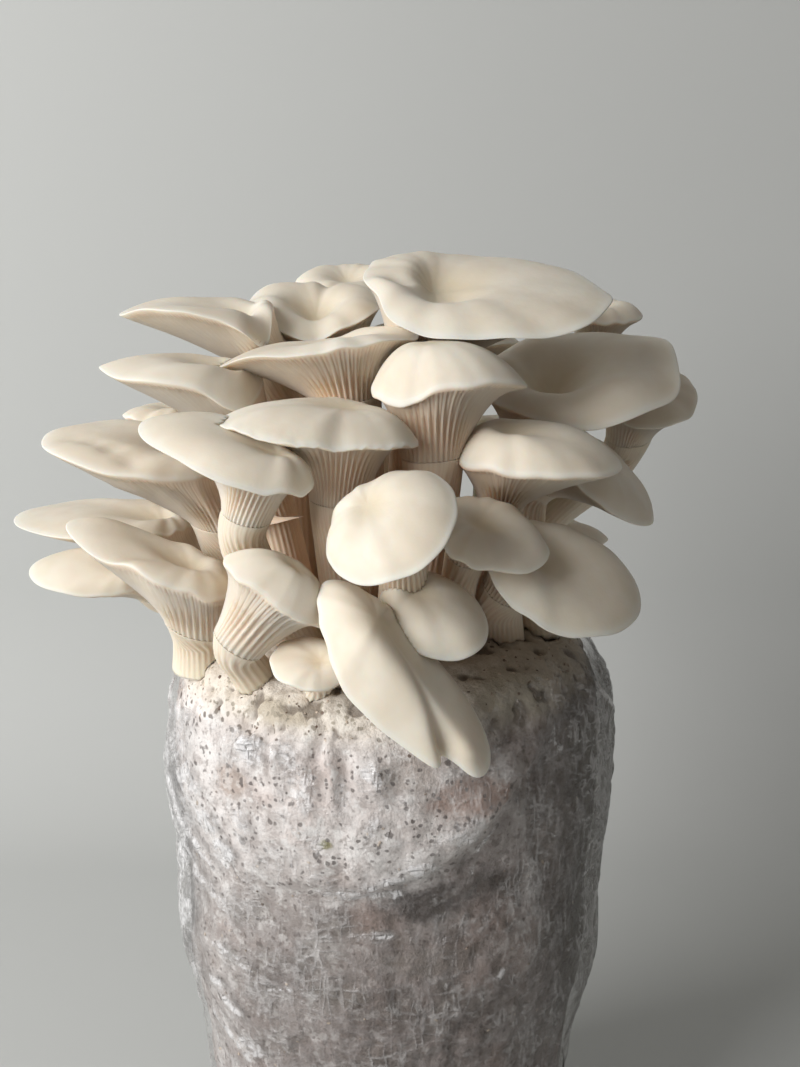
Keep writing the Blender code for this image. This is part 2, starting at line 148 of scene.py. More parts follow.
cap("left_front", (-28.3, -52, 278.3), (165, -18, -8), (39.3, 11.8, 15.7), (4, 2, 0.3, 4), (18, 6.8, 3.2),
    lean=(4, 0),
    notches=((28, 22, -0.1), (-98, 44, -0.36)), lifts=((-20, 20, 1.5),))
cap("left_outer", (-56, -12, 272), (175, -8, -5), (46, 9.5, 21), (3, 5, 0.3, 3), (20, 8.5, 1.2),
    lean=(-9, 0),
    notches=((12, 12, -0.03),), lifts=((-38, 30, 3.4), (26, 16, 1.4)),
    bends=((27, 9, 3, 2.5, -1.2), (21, 12, 3.5, 2.5, -1.4), (14, 16, 4, 2.5, -1.2), (33, 6, 4, 3, -0.8)))
cap("left_lower", (-69, 5, 249), (180, -2, -3), (46, 9, 20), (2, 4, 0.3, 1.5), (14, 7.5, 1.3),
    lean=(-8, 0))
cap("left_low", (-54, -33, 244.7), (172, -18, -3), (40, 13, 15), (2, 4, 0.3, 3), (21, 9.5, 1.3),
    lean=(-4, -7),
    notches=((26, 24, -0.2), (140, 25, 0.06)), lifts=((45, 26, 2.6), (140, 30, -1.5)),
    bends=((14, 7, 12, 5, -1.6), (30, -6, 8, 5, 1.2)))
cap("left_tucked", (-75, -17, 239), (184, -2, -30), (30, 7, 10), (3, 2, 0.3, 2), (10, 5, 1.5),
    lean=(-5, 0))
cap("front_left", (-26, -56, 245.5), (180, -32, -6), (18, 14, 10), (8, 2, 0.3, 2), (24, 7.5, 2),
    lean=(2, -6),
    notches=((60, 40, -0.15),), lifts=((175, 40, -2),))
cap("front_round", (-3, -62, 267), (-50, 9, 40), (24, 13, 18), (5, 2, 0.3, 3), (12, 7, 2),
    notches=((150, 28, -0.08),))
cap("front_tongue", (-4, -62, 236.5), (-22, 46, 30), (45, 17, 12.5), (6, 0, 0.2, 3), (10, 6.5, 1.5),
    lobes=((1, 0.08, 75),), notches=((-62, 40, 0.24), (-9, 3.5, -0.16), (4, 10, 0.04)),
    bends=((34, -5, 4, 2.2, -2), (41, -1, 3, 3, 1), (10, -6.5, 18, 5.5, 3.2), (14, 6, 18, 6, -3)))
cap("front_bud", (-17, -57, 224.5), (170, -8, -30), (14, 8, 9), (2, 1, 0.3, 1), (7, 4, 1.5))
cap("front_small", (8, -50.5, 241.5), (-35, 25, 24), (23, 9, 13), (4, 2, 0.3, 3), (10, 5.5, 1.5))
cap("right_mid", (34, -24, 276.5), (0, 3, 8), (33, 15, 19), (8, 4, 0.35, 3.4), (17, 6.5, 1.3),
    lifts=((-75, 60, 1.4),))
cap("right_high", (51, 20, 292), (0, -4, 24), (45, 23, 29), (3, 10, 0.38, 4), (20, 11, 1.6),
    lean=(-4, -4),
    notches=((2, 16, -0.08), (-35, 24, -0.1)), lifts=((16, 14, 3.4), (-125, 40, 3)),
    bends=((20, -15, 11, 8, 3.6), (-1, -3, 9, 8, -3), (34, -3, 6, 6, -1.5)))
cap("right_behind", (85, 44, 283), (0, -6, 24), (18, 14, 20), (2, 4, 0.35, 3), (18, 8, 1.6),
    lean=(-4, 0))
cap("crown_right", (72, 60, 309), (0, 0, 10), (15, 14, 12), (2, 3, 0.35, 3), (12, 6.5, 1.5))
cap("right_inner", (25, -44, 259.4), (-10, 20, 27), (21, 13, 14), (3, 3, 0.3, 3), (12, 6, 1.5),
    lifts=((-45, 35, 2),))
cap("right_low", (39.5, -37, 248), (8, 21, 34), (36, 12, 19), (3, 3, 0.3, 4), (14, 7.5, 2.4),
    notches=((50, 40, 0.14), (-100, 35, 0.1)))
cap("right_drop", (61, 3, 269), (0, 38, 18), (30, 15, 18), (3, 3, 0.3, 3), (16, 7.5, 1.4),
    lean=(-5, 0))
cap("back_high", (18, 58, 301), (80, 4, 4), (34, 16, 27), (2, 6, 0.3, 3), (24, 11, 1.6), lean=(-5, 0))
cap("back_left", (-38, 54, 287), (130, 6, 0), (34, 13, 23), (2, 5, 0.3, 3), (22, 9.5, 1.5),
    lean=(-6, 0))
cap("back_mid", (-6, 74, 265), (100, 10, 4), (34, 14, 24), (2, 5, 0.3, 3), (20, 9.5, 1.5), lean=(-6, 0))
cap("back_right", (44, 68, 268), (60, 8, 0), (34, 14, 23), (2, 5, 0.3, 3), (22, 9.5, 1.5), lean=(-6, 0))
cap("back_low_left", (-55, 47, 248), (140, 14, 0), (32, 11, 20), (3, 4, 0.3, 3), (18, 8, 1.5),
    lean=(-5, 0))
cap("back_low", (12, 73, 238), (95, 20, 0), (32, 11, 20), (3, 4, 0.3, 3), (14, 6.5, 1.5), lean=(-5, 0))
cap("back_low_right", (54, 40, 238), (20, 12, 0), (23, 10, 14), (3, 4, 0.3, 3), (11, 6.5, 1.5),
    lean=(-4, 0))

# Each stem: the foot on the block (x, y, radius), the cap at its top and, on a forked stem, a second cap
# and how far down the first stem the fork is.
STEMS = {
    "crown": (10, 2, 11, "crown", None, 0),
    "crown_left": (-10, 22, 9, "crown_left", "crown_back", 0.5),
    "left_high": (-27, 16, 8.5, "left_high", "left_back", 0.5),
    "middle_high": (-9, -1, 9, "middle_high", None, 0),
    "left_upper": (-27, -5, 8, "left_upper", None, 0),
    "middle": (7, -16, 8.5, "middle", None, 0),
    "front_high": (-10, -20, 8.5, "front_high", None, 0),
    "left_front": (-23, -22, 7, "left_front", None, 0),
    "left_outer": (-43, -8, 8, "left_outer", None, 0),
    "left_lower": (-52, 10, 8, "left_lower", "left_tucked", 0.6),
    "left_low": (-56, -21, 8, "left_low", None, 0),
    "front_left": (-36, -38, 6.5, "front_left", None, 0),
    "front_round": (3, -30, 8, "front_round", "front_small", 0.72),
    "front_tongue": (-10, -43, 7, "front_tongue", None, 0),
    "front_bud": (-20, -48, 4, "front_bud", None, 0),
    "right_mid": (24, -14, 9, "right_mid", None, 0),
    "right_inner": (19, -26, 6, "right_inner", None, 0),
    "right_high": (25, 14, 10, "right_high", "crown_right", 0.4),
    "right_low": (35, -12, 7.5, "right_low", None, 0),
    "right_drop": (47, -6, 8, "right_drop", "right_behind", 0.5),
    "back_high": (8, 28, 10, "back_high", "back_mid", 0.6),
    "back_left": (-29, 42, 8, "back_left", None, 0),
    "back_right": (32, 32, 9, "back_right", "back_low_right", 0.72),
    "back_low_left": (-42, 30, 8, "back_low_left", None, 0),
    "back_low": (12, 49, 8, "back_low", None, 0),
}


# ---------------------------------------------------------------- shapes of the caps

def smooth(low, high, value):
    """0 below low, 1 above high, and a smooth step between."""
    t = np.clip((value - low) / (high - low), 0.0, 1.0)
    return t * t * (3.0 - 2.0 * t)


def cap_frame(entry):
    """The cap's own axes: X reaches out, Y goes sideways, Z is its upper side."""
    heading, droop, roll = (math.radians(a) for a in entry["turn"])
    turn = Matrix.Rotation(heading, 3, "Z") @ Matrix.Rotation(droop, 3, "Y") @ Matrix.Rotation(roll, 3, "X")
    return np.array(turn), np.array(entry["at"], dtype=float)


def wander(seed, angle, low, high):
    """A gentle closed wobble round the edge, about -1 to 1, the same each time for the same seed."""
    chance = np.random.default_rng(seed)
    out = np.zeros_like(angle)
    for count in range(low, high + 1):
        size = chance.normal() * (low / count) ** 0.7
        out = out + size * np.cos(count * angle + chance.uniform(0.0, 6.283))
    return out * 0.5


def wrapped(degrees):
    """Degrees brought between -180 and 180."""
    return (degrees + 180.0) % 360.0 - 180.0


def polar(radius, angle, height):
    """Points at a distance from an upright axis."""
    return np.stack([radius * np.cos(angle), radius * np.sin(angle), height], axis=-1)


def stretch(angle, direction, width):
    """1 in a direction, fading to 0 beyond a width, all in degrees except the angle."""
    return np.exp(-(wrapped(np.degrees(angle) - direction) / width) ** 2)


def reach(entry, angle):
    """Distance from the stem's axis to the edge, an off-centre ellipse with lobes, notches and a wobble."""
    front, back, half = entry["size"]
    middle = 0.5 * (front - back)
    long = 0.5 * (front + back)
    c, s = np.cos(angle), np.sin(angle)
    a = c * c / long ** 2 + s * s / half ** 2
    b = -2.0 * middle * c / long ** 2
    k = middle ** 2 / long ** 2 - 1.0
    out = (-b + np.sqrt(b * b - 4.0 * a * k)) / (2.0 * a)
    for count, size, phase in entry["lobes"]:
        out = out * (1.0 + size * np.cos(count * angle + math.radians(phase)))
    for direction, width, size in entry["notches"]:
        out = out * (1.0 + size * stretch(angle, direction, width))
    wobble = 0.012 * wander(entry["seed"], angle, 3, 9)
    return out * (1.0 + wobble + 0.004 * wander(entry["seed"] + 400, angle, 9, 18))


def spread(entry, count):
    """Directions from the stem's axis that meet the edge at evenly spaced points."""
    front, back, half = entry["size"]
    turn = np.arange(count) * (2.0 * math.pi / count)
    x = 0.5 * (front - back) + 0.5 * (front + back) * np.cos(turn)
    return np.arctan2(half * np.sin(turn), x)


def wave(entry, angle):
    """Up and down of the edge."""
    out = 0.65 * wander(entry["seed"] + 100, angle, 3, 7) + 0.2 * wander(entry["seed"] + 300, angle, 8, 15)
    for count, size, phase in entry["waves"]:
        out = out + size * np.cos(count * angle + math.radians(phase))
    for direction, width, size in entry["lifts"]:
        out = out + size * stretch(angle, direction, width)
    return out


def bend(entry, x, y):
    """Local rises and dips of the whole cap: (x, y, reach along x, reach along y, height)."""
    out = np.zeros_like(x)
    for px, py, wx, wy, height in entry["bends"]:
        out = out + height * np.exp(-((x - px) / wx) ** 2 - ((y - py) / wy) ** 2)
    return out


def top_point(entry, angle, s):
    """A point of the upper side, from the middle (s = 0) to the edge (s = 1)."""
    dome, hollow, width, lip = entry["form"]
    out = reach(entry, angle) * s
    x, y = out * np.cos(angle), out * np.sin(angle)
    z = dome * (1.0 - s * s) - hollow * np.exp(-(s / width) ** 2) - lip * s ** 6 + wave(entry, angle) * s * s
    swell = 0.5 * wander(entry["seed"] + 200, angle, 2, 5) * s * s * (1.0 - s) * 6.7
    return np.stack([x, y, z + swell + bend(entry, x, y)], axis=-1)


def under_point(entry, angle, t):
    """A point of the underside, from the neck (t = 0) to the edge (t = 1)."""
    lip = entry["form"][3]
    depth, neck, power = entry["bell"]
    edge = reach(entry, angle)
    out = neck + (edge - neck) * t * (1.0 - 0.5 * (1.0 - t) ** 6)
    x, y = out * np.cos(angle), out * np.sin(angle)
    z = (wave(entry, angle) - lip) * t ** 3 - FLESH * (1.0 - t ** 8) - (depth - FLESH) * (1.0 - t) ** power
    ahead, aside = entry["lean"]
    drift = (1.0 - t) ** 1.3
    return np.stack([x + ahead * drift, y + aside * drift, z + bend(entry, x, y) * t], axis=-1)


def gill_count(entry):
    """Full-length gills of a cap, an even number, from the length of its edge."""
    front, back, half = entry["size"]
    a, b = 0.5 * (front + back), half
    edge = math.pi * (3 * (a + b) - math.sqrt((3 * a + b) * (a + 3 * b)))
    return 2 * max(9, int(round(0.5 * edge / GILL_SPACING)))


class Skin:
    """Points, faces and named values of one piece, gathered ring by ring."""

    def __init__(self):
        self.points = []
        self.faces = []
        self.values = {}
        self.total = 0
        self.last = None

    def ring(self, points, **values):
        """Add a ring of points, with faces to the ring before it."""
        points = np.atleast_2d(points)
        first = self.total
        self.points.append(points)
        self.total += len(points)
        for name, value in values.items():
            whole = np.broadcast_to(value, (len(points),) + np.shape(value)[1:])
            self.values.setdefault(name, []).append((first, whole))
        made = np.arange(first, self.total)
        if self.last is not None:
            self.bridge(self.last, made)
        self.last = made

    def bridge(self, lower, upper):
        """Faces between rings of the same count, a ring and one point, or a ring and one twice as dense."""
        if len(lower) == len(upper):
            a, b = lower, upper
            self.faces += np.stack([a, np.roll(a, -1), np.roll(b, -1), b], axis=1).tolist()
        elif len(lower) == 1:
            self.faces += [(int(lower[0]), int(q), int(p)) for p, q in zip(upper, np.roll(upper, -1))]
        elif len(upper) == 1:
            self.faces += [(int(p), int(q), int(upper[0])) for p, q in zip(lower, np.roll(lower, -1))]
        elif len(upper) == 2 * len(lower):
            n = len(lower)
            for i in range(n):
                a, b = int(lower[i]), int(lower[(i + 1) % n])
                c, d, e = (int(upper[(2 * i + k) % (2 * n)]) for k in range(3))
                self.faces += [(a, d, c), (a, b, d), (b, e, d)]

    def piece(self, name, axes=None, at=None):
        """The finished object, in metres, its faces turned outwards."""
        co = np.concatenate(self.points)
        if axes is not None:
            co = co @ axes.T + at
        mesh = bpy.data.meshes.new(name)
        mesh.from_pydata((co * MM).tolist(), [], self.faces)
        for key, parts in self.values.items():
            wide = parts[0][1].ndim > 1
            whole = np.zeros((self.total, 3) if wide else self.total, np.float32)
            for first, part in parts:
                whole[first:first + len(part)] = part
            if wide and axes is not None:
                whole = (whole @ axes.T).astype(np.float32)
            layer = mesh.attributes.new(key, "FLOAT_VECTOR" if wide else "FLOAT", "POINT")
            layer.data.foreach_set("vector" if wide else "value", whole.ravel())
        bm = bmesh.new()
        bm.from_mesh(mesh)
        if bm.calc_volume(signed=True) < 0.0:
            mesh.flip_normals()
        bm.free()
        mesh.shade_smooth()
        obj = bpy.data.objects.new(name, mesh)
        bpy.context.scene.collection.objects.link(obj)
        return obj


def ring_normals(rings):
    """Unit vectors square to a stack of rings, as (rings, columns, 3)."""
    grid = np.stack(rings)
    along = np.gradient(grid, axis=0)
    around = np.roll(grid, -1, axis=1) - np.roll(grid, 1, axis=1)
    out = np.cross(around, along)
    return out / np.maximum(np.linalg.norm(out, axis=2, keepdims=True), 1e-9)


def rim_rings(entry, angle):
    """The rounded edge of a cap, as (share of the way round, points), from its upper to its gill side."""
    start = top_point(entry, angle, CAP_TOP[-1])
    end = under_point(entry, angle, CAP_UNDER[0])
    run = start - top_point(entry, angle, CAP_TOP[-1] - 0.02)
    run = run / np.linalg.norm(run, axis=1, keepdims=True)
    back = end - under_point(entry, angle, CAP_UNDER[0] - 0.02)
    back = back / np.linalg.norm(back, axis=1, keepdims=True)
    handle = (reach(entry, angle) - np.hypot(start[:, 0], start[:, 1]))[:, None] * 1.15
    crinkle = wander(entry["seed"] + 7, angle, 30, 50) + 0.8 * wander(entry["seed"] + 8, angle, 12, 20)
    frill = entry["frill"] * crinkle[:, None] * np.array([0.35, 0.0, 1.0])
    for step in (0.17, 0.34, 0.5, 0.66, 0.83):
        u = 1.0 - step
        ring = (u ** 3 * start + 3 * u * u * step * (start + run * handle)
                + 3 * u * step * step * (end + back * handle) + step ** 3 * end)
        yield step, ring + frill * math.sin(math.pi * step)


def build_cap(name, entry):
    """One cap: smooth upper side, rounded edge and a gill side that narrows to a socket for the stem."""
    axes, at = cap_frame(entry)
    gills = gill_count(entry)
    fine = spread(entry, 4 * gills)
    plain = fine[::2]
    depth, neck = entry["bell"][:2]
    skin = Skin()
    skin.ring(top_point(entry, np.zeros(1), np.zeros(1)), radial=0.0, side=0.0, around=0.0, room=0.0)
    for s in CAP_TOP:
        skin.ring(top_point(entry, plain, s), radial=s, side=0.0)
    for step, ring in rim_rings(entry, plain):
        skin.ring(ring, radial=1.0, side=step)
    rings = [under_point(entry, fine, t) for t in CAP_UNDER]
    normals = ring_normals(rings)
    if np.mean(normals[6, :, 2]) < 0.0:
        normals = -normals
    around = np.arange(len(fine)) / len(fine)
    for t, points, inward in zip(CAP_UNDER, rings, normals):
        s = np.hypot(points[:, 0], points[:, 1]) / reach(entry, fine)
        flesh = (top_point(entry, fine, s)[:, 2] - points[:, 2]) * np.abs(inward[:, 2])
        limit = 0.45 + 1.25 * smooth(0.0, 0.35, t)
        space = np.minimum(0.6 * flesh, limit) * (1.0 - smooth(0.90, 0.955, t))
        skin.ring(points, radial=t, side=1.0, around=around, inward=inward, room=space,
                  short=float(smooth(0.15, 0.6, t)))
    circle = np.stack([np.cos(fine), np.sin(fine), np.zeros_like(fine)], axis=1)
    skin.ring(points - SEAM_STEP * circle, radial=0.0, side=1.0, around=around, inward=inward, room=space,
              short=0.0)
    floor = np.array([*entry["lean"], -depth])
    for lift in (0.0, SOCKET_DEPTH):
        skin.ring(circle * (neck - SOCKET_WALL) + floor + np.array([0.0, 0.0, lift]), radial=0.0, side=1.0)
    skin.ring(floor + np.array([0.0, 0.0, SOCKET_DEPTH]), radial=0.0, side=1.0)
    return skin.piece("mushroom_cap_" + name, axes, at), gills


# ---------------------------------------------------------------- shapes of the stems

def bezier(points, t):
    """A point and a direction on a cubic curve."""
    p0, p1, p2, p3 = points
    u = 1.0 - t
    place = u ** 3 * p0 + 3 * u * u * t * p1 + 3 * u * t * t * p2 + t ** 3 * p3
    way = 3 * u * u * (p1 - p0) + 6 * u * t * (p2 - p1) + 3 * t * t * (p3 - p2)
    return place, way / np.linalg.norm(way)


def neck_end(entry):
    """Where the stem starts under the cap, and the way it sets off."""
    axes, at = cap_frame(entry)
    ahead, aside = entry["lean"]
    start = at + axes @ np.array([ahead, aside, -(entry["bell"][0] + GAP)])
    way = axes @ np.array([ahead, aside, -0.8 * entry["bell"][0]])
    return start, way / np.linalg.norm(way)


def stem_curve(entry, foot):
    """The curve from the neck under a cap down to the foot on the block."""
    start, way = neck_end(entry)
    end = np.array([foot[0], foot[1], FOOT_HEIGHT])
    span = np.linalg.norm(end - start)
    first = start + way * span * 0.25
    lean = np.array([start[0] - end[0], start[1] - end[1], 0.0]) * 0.12
    last = end + np.array([0.0, 0.0, span * 0.34]) + lean
    return start, first, last, end


def arm_curve(entry, fork):
    """The curve of the second arm of a forked stem, ending inside the first."""
    start, way = neck_end(entry)
    span = np.linalg.norm(fork - start)
    last = fork + (start - fork) * 0.24 + np.array([0.0, 0.0, span * 0.1])
    return start, start + way * span * 0.34, last, fork


def seated(points, ground):
    """The points of a ring, those that would be inside the block lifted on to it and drawn in."""
    centre = points.mean(axis=0)
    out = points.copy()
    for i, point in enumerate(points):
        hit = ground.ray_cast(Vector((point[0], point[1], 300.0)) * MM, Vector((0.0, 0.0, -1.0)))[0]
        if hit is None:
            continue
        deep = hit.z / MM + SEAT - point[2]
        if deep > 0.0:
            share = min(deep / 3.0, 1.0)
            out[i] = point + (centre - point) * 0.22 * share
            out[i, 2] = hit.z / MM + SEAT + 0.8 * share
    return out


def build_stalk(name, entry, curve, width_at, seed, ground=None):
    """A fluted stalk along a curve, with a plug at its top that sits in the cap's socket."""
    axes = cap_frame(entry)[0]
    neck = entry["bell"][1]
    flutes = gill_count(entry) // 2
    even = np.arange(4 * flutes) * (2.0 * math.pi / (4 * flutes))
    gills = np.unwrap(spread(entry, 4 * flutes))
    side, up = axes[:, 0], axes[:, 2]
    chance = np.random.default_rng(seed)
    oval, lean = chance.uniform(0.02, 0.06), chance.uniform(0.0, 3.14)
    skin = Skin()
    start = curve[0]
    spokes = np.cos(gills)[:, None] * side + np.sin(gills)[:, None] * np.cross(-up, side)
    skin.ring(start + up * PLUG_HEIGHT, along=0.0)
    for wall, lift in ((PLUG_WALL, PLUG_HEIGHT), (PLUG_WALL, STEM_LIFT), (0.5, STEM_LIFT)):
        skin.ring(start + up * lift + spokes * (neck - wall), along=0.0)
    steps = np.concatenate([[0.0, 0.0, 0.003], np.linspace(0.0375, 0.3, 8), np.linspace(0.345, 1.0, 14)])
    rings, sides = [], []
    for t in steps:
        place, way = bezier(curve, t)
        ease = float(smooth(0.0, 0.3, t))
        way = way * ease - up * (1.0 - ease)
        way = way / np.linalg.norm(way)
        side = side - way * (side @ way)
        side = side / np.linalg.norm(side)
        other = np.cross(way, side)
        turn = gills + (even - gills) * float(smooth(0.0, 0.35, t))
        wobble = oval * np.cos(2 * (turn - lean)) + 0.05 * wander(seed + 40, turn, 2, 5)
        shape = 1.0 + smooth(0.0, 0.3, t) * wobble
        out = np.cos(turn)[:, None] * side + np.sin(turn)[:, None] * other
        if t == 0.0:
            place = place + up * STEM_LIFT
        rings.append(place + out * (width_at(t) * shape - SEAM_STEP * (not rings))[:, None])
        if ground and t > 0.5:
            rings[-1] = seated(rings[-1], ground)
        sides.append(-out)
    around = np.arange(len(even)) / len(even)
    for t, points, inward in zip(steps, rings, sides):
        depth = 0.45 + 0.2 * float(smooth(0.0, 0.08, t)) - 0.45 * float(smooth(0.1, 0.75, t))
        skin.ring(points, along=t, around=around, inward=inward, room=depth,
                  short=1.0 - float(smooth(0.02, 0.22, t)))
    skin.ring(rings[-1].mean(axis=0), along=1.0)
    return skin.piece(name), flutes


# ---------------------------------------------------------------- trees that make what repeats

def new_tree(name, sockets):
    """A geometry tree with its inputs and one geometry output."""
    tree = bpy.data.node_groups.new(name, "GeometryNodeTree")
    tree.interface.new_socket("Geometry", in_out="INPUT", socket_type="NodeSocketGeometry")
    for label, kind, value in sockets:
        socket = tree.interface.new_socket(label, in_out="INPUT", socket_type=kind)
        if value is not None:
            socket.default_value = value
    tree.interface.new_socket("Geometry", in_out="OUTPUT", socket_type="NodeSocketGeometry")
    return tree, tree.nodes.new("NodeGroupInput"), tree.nodes.new("NodeGroupOutput")


def wired(tree, kind, inputs=(), **settings):
    """Add a node, set it up and link or fill its inputs, given as (input, source or value)."""
    node = tree.nodes.new(kind)
    for key, value in settings.items():
        setattr(node, key, value)
    for key, value in inputs:
        if isinstance(value, bpy.types.NodeSocket):
            tree.links.new(value, node.inputs[key])
        else:
            node.inputs[key].default_value = value
    return node


def maths(tree, operation, *values, clamp=False):
    """A Math node's output."""
    node = wired(tree, "ShaderNodeMath", list(enumerate(values)), operation=operation, use_clamp=clamp)
    return node.outputs[0]


def times(tree, first, *others):
    """The product of two or more values."""
    for value in others:
        first = maths(tree, "MULTIPLY", first, value)
    return first


def plus(tree, a, b):
    """The sum of two values."""
    return maths(tree, "ADD", a, b)


def minus(tree, a, b):
    """The first value less the second."""
    return maths(tree, "SUBTRACT", a, b)


def named_value(tree, name, kind="FLOAT"):
    """The output of a Named Attribute node."""
    node = wired(tree, "GeometryNodeInputNamedAttribute", (("Name", name),), data_type=kind)
    return node.outputs["Attribute"]


def fold_tree():
    """Gills or flutes: crests stay where the surface is, and the grooves between them go into the flesh."""
    tree, start, end = new_tree("Gill Folds", (
        ("Fold Count", "NodeSocketFloat", 40.0),
        ("Groove Depth", "NodeSocketFloat", 1.0),
        ("Crest Sharpness", "NodeSocketFloat", 1.6),
        ("Unevenness", "NodeSocketFloat", 0.3),
        ("Seed", "NodeSocketFloat", 1.0),
        ("Finish", "NodeSocketMaterial", None),
    ))
    count, depth = start.outputs["Fold Count"], start.outputs["Groove Depth"]
    phase = times(tree, named_value(tree, "around"), count, 2.0 * math.pi)
    crest = times(tree, plus(tree, maths(tree, "COSINE", phase), 1.0), 0.5)
    crest = maths(tree, "POWER", crest, start.outputs["Crest Sharpness"])
    twice = maths(tree, "COSINE", times(tree, phase, 2.0))
    extra = times(tree, plus(tree, twice, 1.0), 0.5)
    extra = maths(tree, "POWER", extra, start.outputs["Crest Sharpness"])
    extra = times(tree, extra, times(tree, named_value(tree, "short"), 0.8))
    ridge = maths(tree, "MAXIMUM", crest, extra)
    speckle = wired(tree, "ShaderNodeTexNoise", (
        ("Vector", wired(tree, "GeometryNodeInputPosition").outputs[0]), ("W", start.outputs["Seed"]),
        ("Scale", 260.0), ("Detail", 1.0)), noise_dimensions="4D").outputs[0]
    vary = times(tree, minus(tree, speckle, 0.5), start.outputs["Unevenness"])
    share = plus(tree, times(tree, vary, 2.0), 1.0)
    groove = times(tree, minus(tree, 1.0, ridge), times(tree, share, depth))
    push = times(tree, groove, named_value(tree, "room"), MM)
    kept = wired(tree, "GeometryNodeStoreNamedAttribute", (
        ("Geometry", start.outputs["Geometry"]), ("Name", "ridge"), ("Value", ridge)), data_type="FLOAT")
    kept = wired(tree, "GeometryNodeStoreNamedAttribute", (
        ("Geometry", kept.outputs[0]), ("Name", "phase"), ("Value", phase)), data_type="FLOAT")
    offset = wired(tree, "ShaderNodeVectorMath", (
        (0, named_value(tree, "inward", "FLOAT_VECTOR")), ("Scale", push)), operation="SCALE")
    moved = wired(tree, "GeometryNodeSetPosition", (
        ("Geometry", kept.outputs[0]), ("Offset", offset.outputs[0])))
    real = wired(tree, "GeometryNodeRealizeInstances", (("Geometry", moved.outputs[0]),))
    done = wired(tree, "GeometryNodeSetMaterial", (
        ("Geometry", real.outputs[0]), ("Material", start.outputs["Finish"])))
    tree.links.new(done.outputs[0], end.inputs[0])
    return tree


def evaluated(obj):
    """The mesh of an object with its modifiers run, which are then removed."""
    bpy.context.view_layer.update()
    mesh = bpy.data.meshes.new_from_object(obj.evaluated_get(bpy.context.evaluated_depsgraph_get()))
    obj.modifiers.clear()
    return mesh


def shaped(obj, tree, **inputs):
    """Run a geometry tree on an object and keep the result as its plain mesh."""
    change = obj.modifiers.new("shape", "NODES")
    change.node_group = tree
    for item in tree.interface.items_tree:
        if item.in_out == "INPUT" and item.name in inputs:
            change[item.identifier] = inputs[item.name]
    obj.data = evaluated(obj)
    return obj


def combined(obj, extra, operation):
    """The mesh of a solid joined with, or cut by, a second solid."""
    change = obj.modifiers.new("combine", "BOOLEAN")
    change.operation = operation
    change.solver = "MANIFOLD"
    change.object = extra
    mesh = evaluated(obj)
    neat(mesh)
    return mesh


def neat(mesh):
    """Triangles only, with the slivers of a cut merged away."""
    bm = bmesh.new()
    bm.from_mesh(mesh)
    bmesh.ops.triangulate(bm, faces=[f for f in bm.faces if len(f.verts) > 3])
    for _ in range(4):
        bad = [e for e in bm.edges if len(e.link_faces) != 2 or e.calc_length() < 0.00001]
        if not bad:
            break
        bmesh.ops.collapse(bm, edges=bad)
        bmesh.ops.dissolve_degenerate(bm, edges=bm.edges, dist=0.000001)
        loose = [e for e in bm.edges if len(e.link_faces) == 1]
        if loose:
            bmesh.ops.holes_fill(bm, edges=loose, sides=12)
        bmesh.ops.triangulate(bm, faces=[f for f in bm.faces if len(f.verts) > 3])
    bm.to_mesh(mesh)
    bm.free()


def join_solids(keep, extra):
    """Join a second solid to the first and drop the second."""
    neat(keep.data)
    neat(extra.data)
    keep.data = combined(keep, extra, "UNION")
    bpy.data.objects.remove(extra)


def largest_part(mesh):
    """Leave only the largest connected part of a mesh, and give its volume."""
    bm = bmesh.new()
    bm.from_mesh(mesh)
    seen, parts = set(), []
    for first in bm.faces:
        if first.index in seen:
            continue
        seen.add(first.index)
        part, todo = [], [first]
        while todo:
            face = todo.pop()
            part.append(face)
            for edge in face.edges:
                for near in edge.link_faces:
                    if near.index not in seen:
                        seen.add(near.index)
                        todo.append(near)
        parts.append(part)
    parts.sort(key=len)
    loose = [face for part in parts[:-1] for face in part]
    bmesh.ops.delete(bm, geom=loose, context="FACES")
    bmesh.ops.delete(bm, geom=[v for v in bm.verts if not v.link_faces], context="VERTS")
    kept = bm.calc_volume(signed=True)
    bm.to_mesh(mesh)
    bm.free()
    return kept


def points_of(mesh):
    """The points of a mesh, one a row."""
    points = np.empty(3 * len(mesh.vertices))
    mesh.vertices.foreach_get("co", points)
    return points.reshape(-1, 3)


def carve(obj, other):
    """Cut a slightly grown neighbour out of a piece; thin crossings can stay where it grows unevenly."""
    grown = bpy.data.objects.new("grown", other.data.copy())
    bpy.context.scene.collection.objects.link(grown)
    mesh = grown.data
    normals = np.empty(3 * len(mesh.vertices))
    mesh.vertex_normals.foreach_get("vector", normals)
    mesh.vertices.foreach_set("co", points_of(mesh).ravel() + normals * PARTING * MM)
    mesh.update()
    made = combined(obj, grown, "DIFFERENCE")
    bpy.data.objects.remove(grown)
    if largest_part(made) > 0.0:
        obj.data = made


def part_pieces(pieces):
    """Cut every piece back from the ones before it in the list wherever the two cross."""
    trees, boxes = [], []
    for obj in pieces:
        neat(obj.data)
        trees.append(tree_of(obj, 1.0 / MM))
        points = points_of(obj.data)
        boxes.append((points.min(axis=0), points.max(axis=0)))
    for j, obj in enumerate(pieces):
        for i in range(j):
            apart = np.any(boxes[i][0] > boxes[j][1]) or np.any(boxes[j][0] > boxes[i][1])
            if not apart and trees[i].overlap(trees[j]):
                carve(obj, pieces[i])
                trees[j] = tree_of(obj, 1.0 / MM)


# ---------------------------------------------------------------- the block and its film

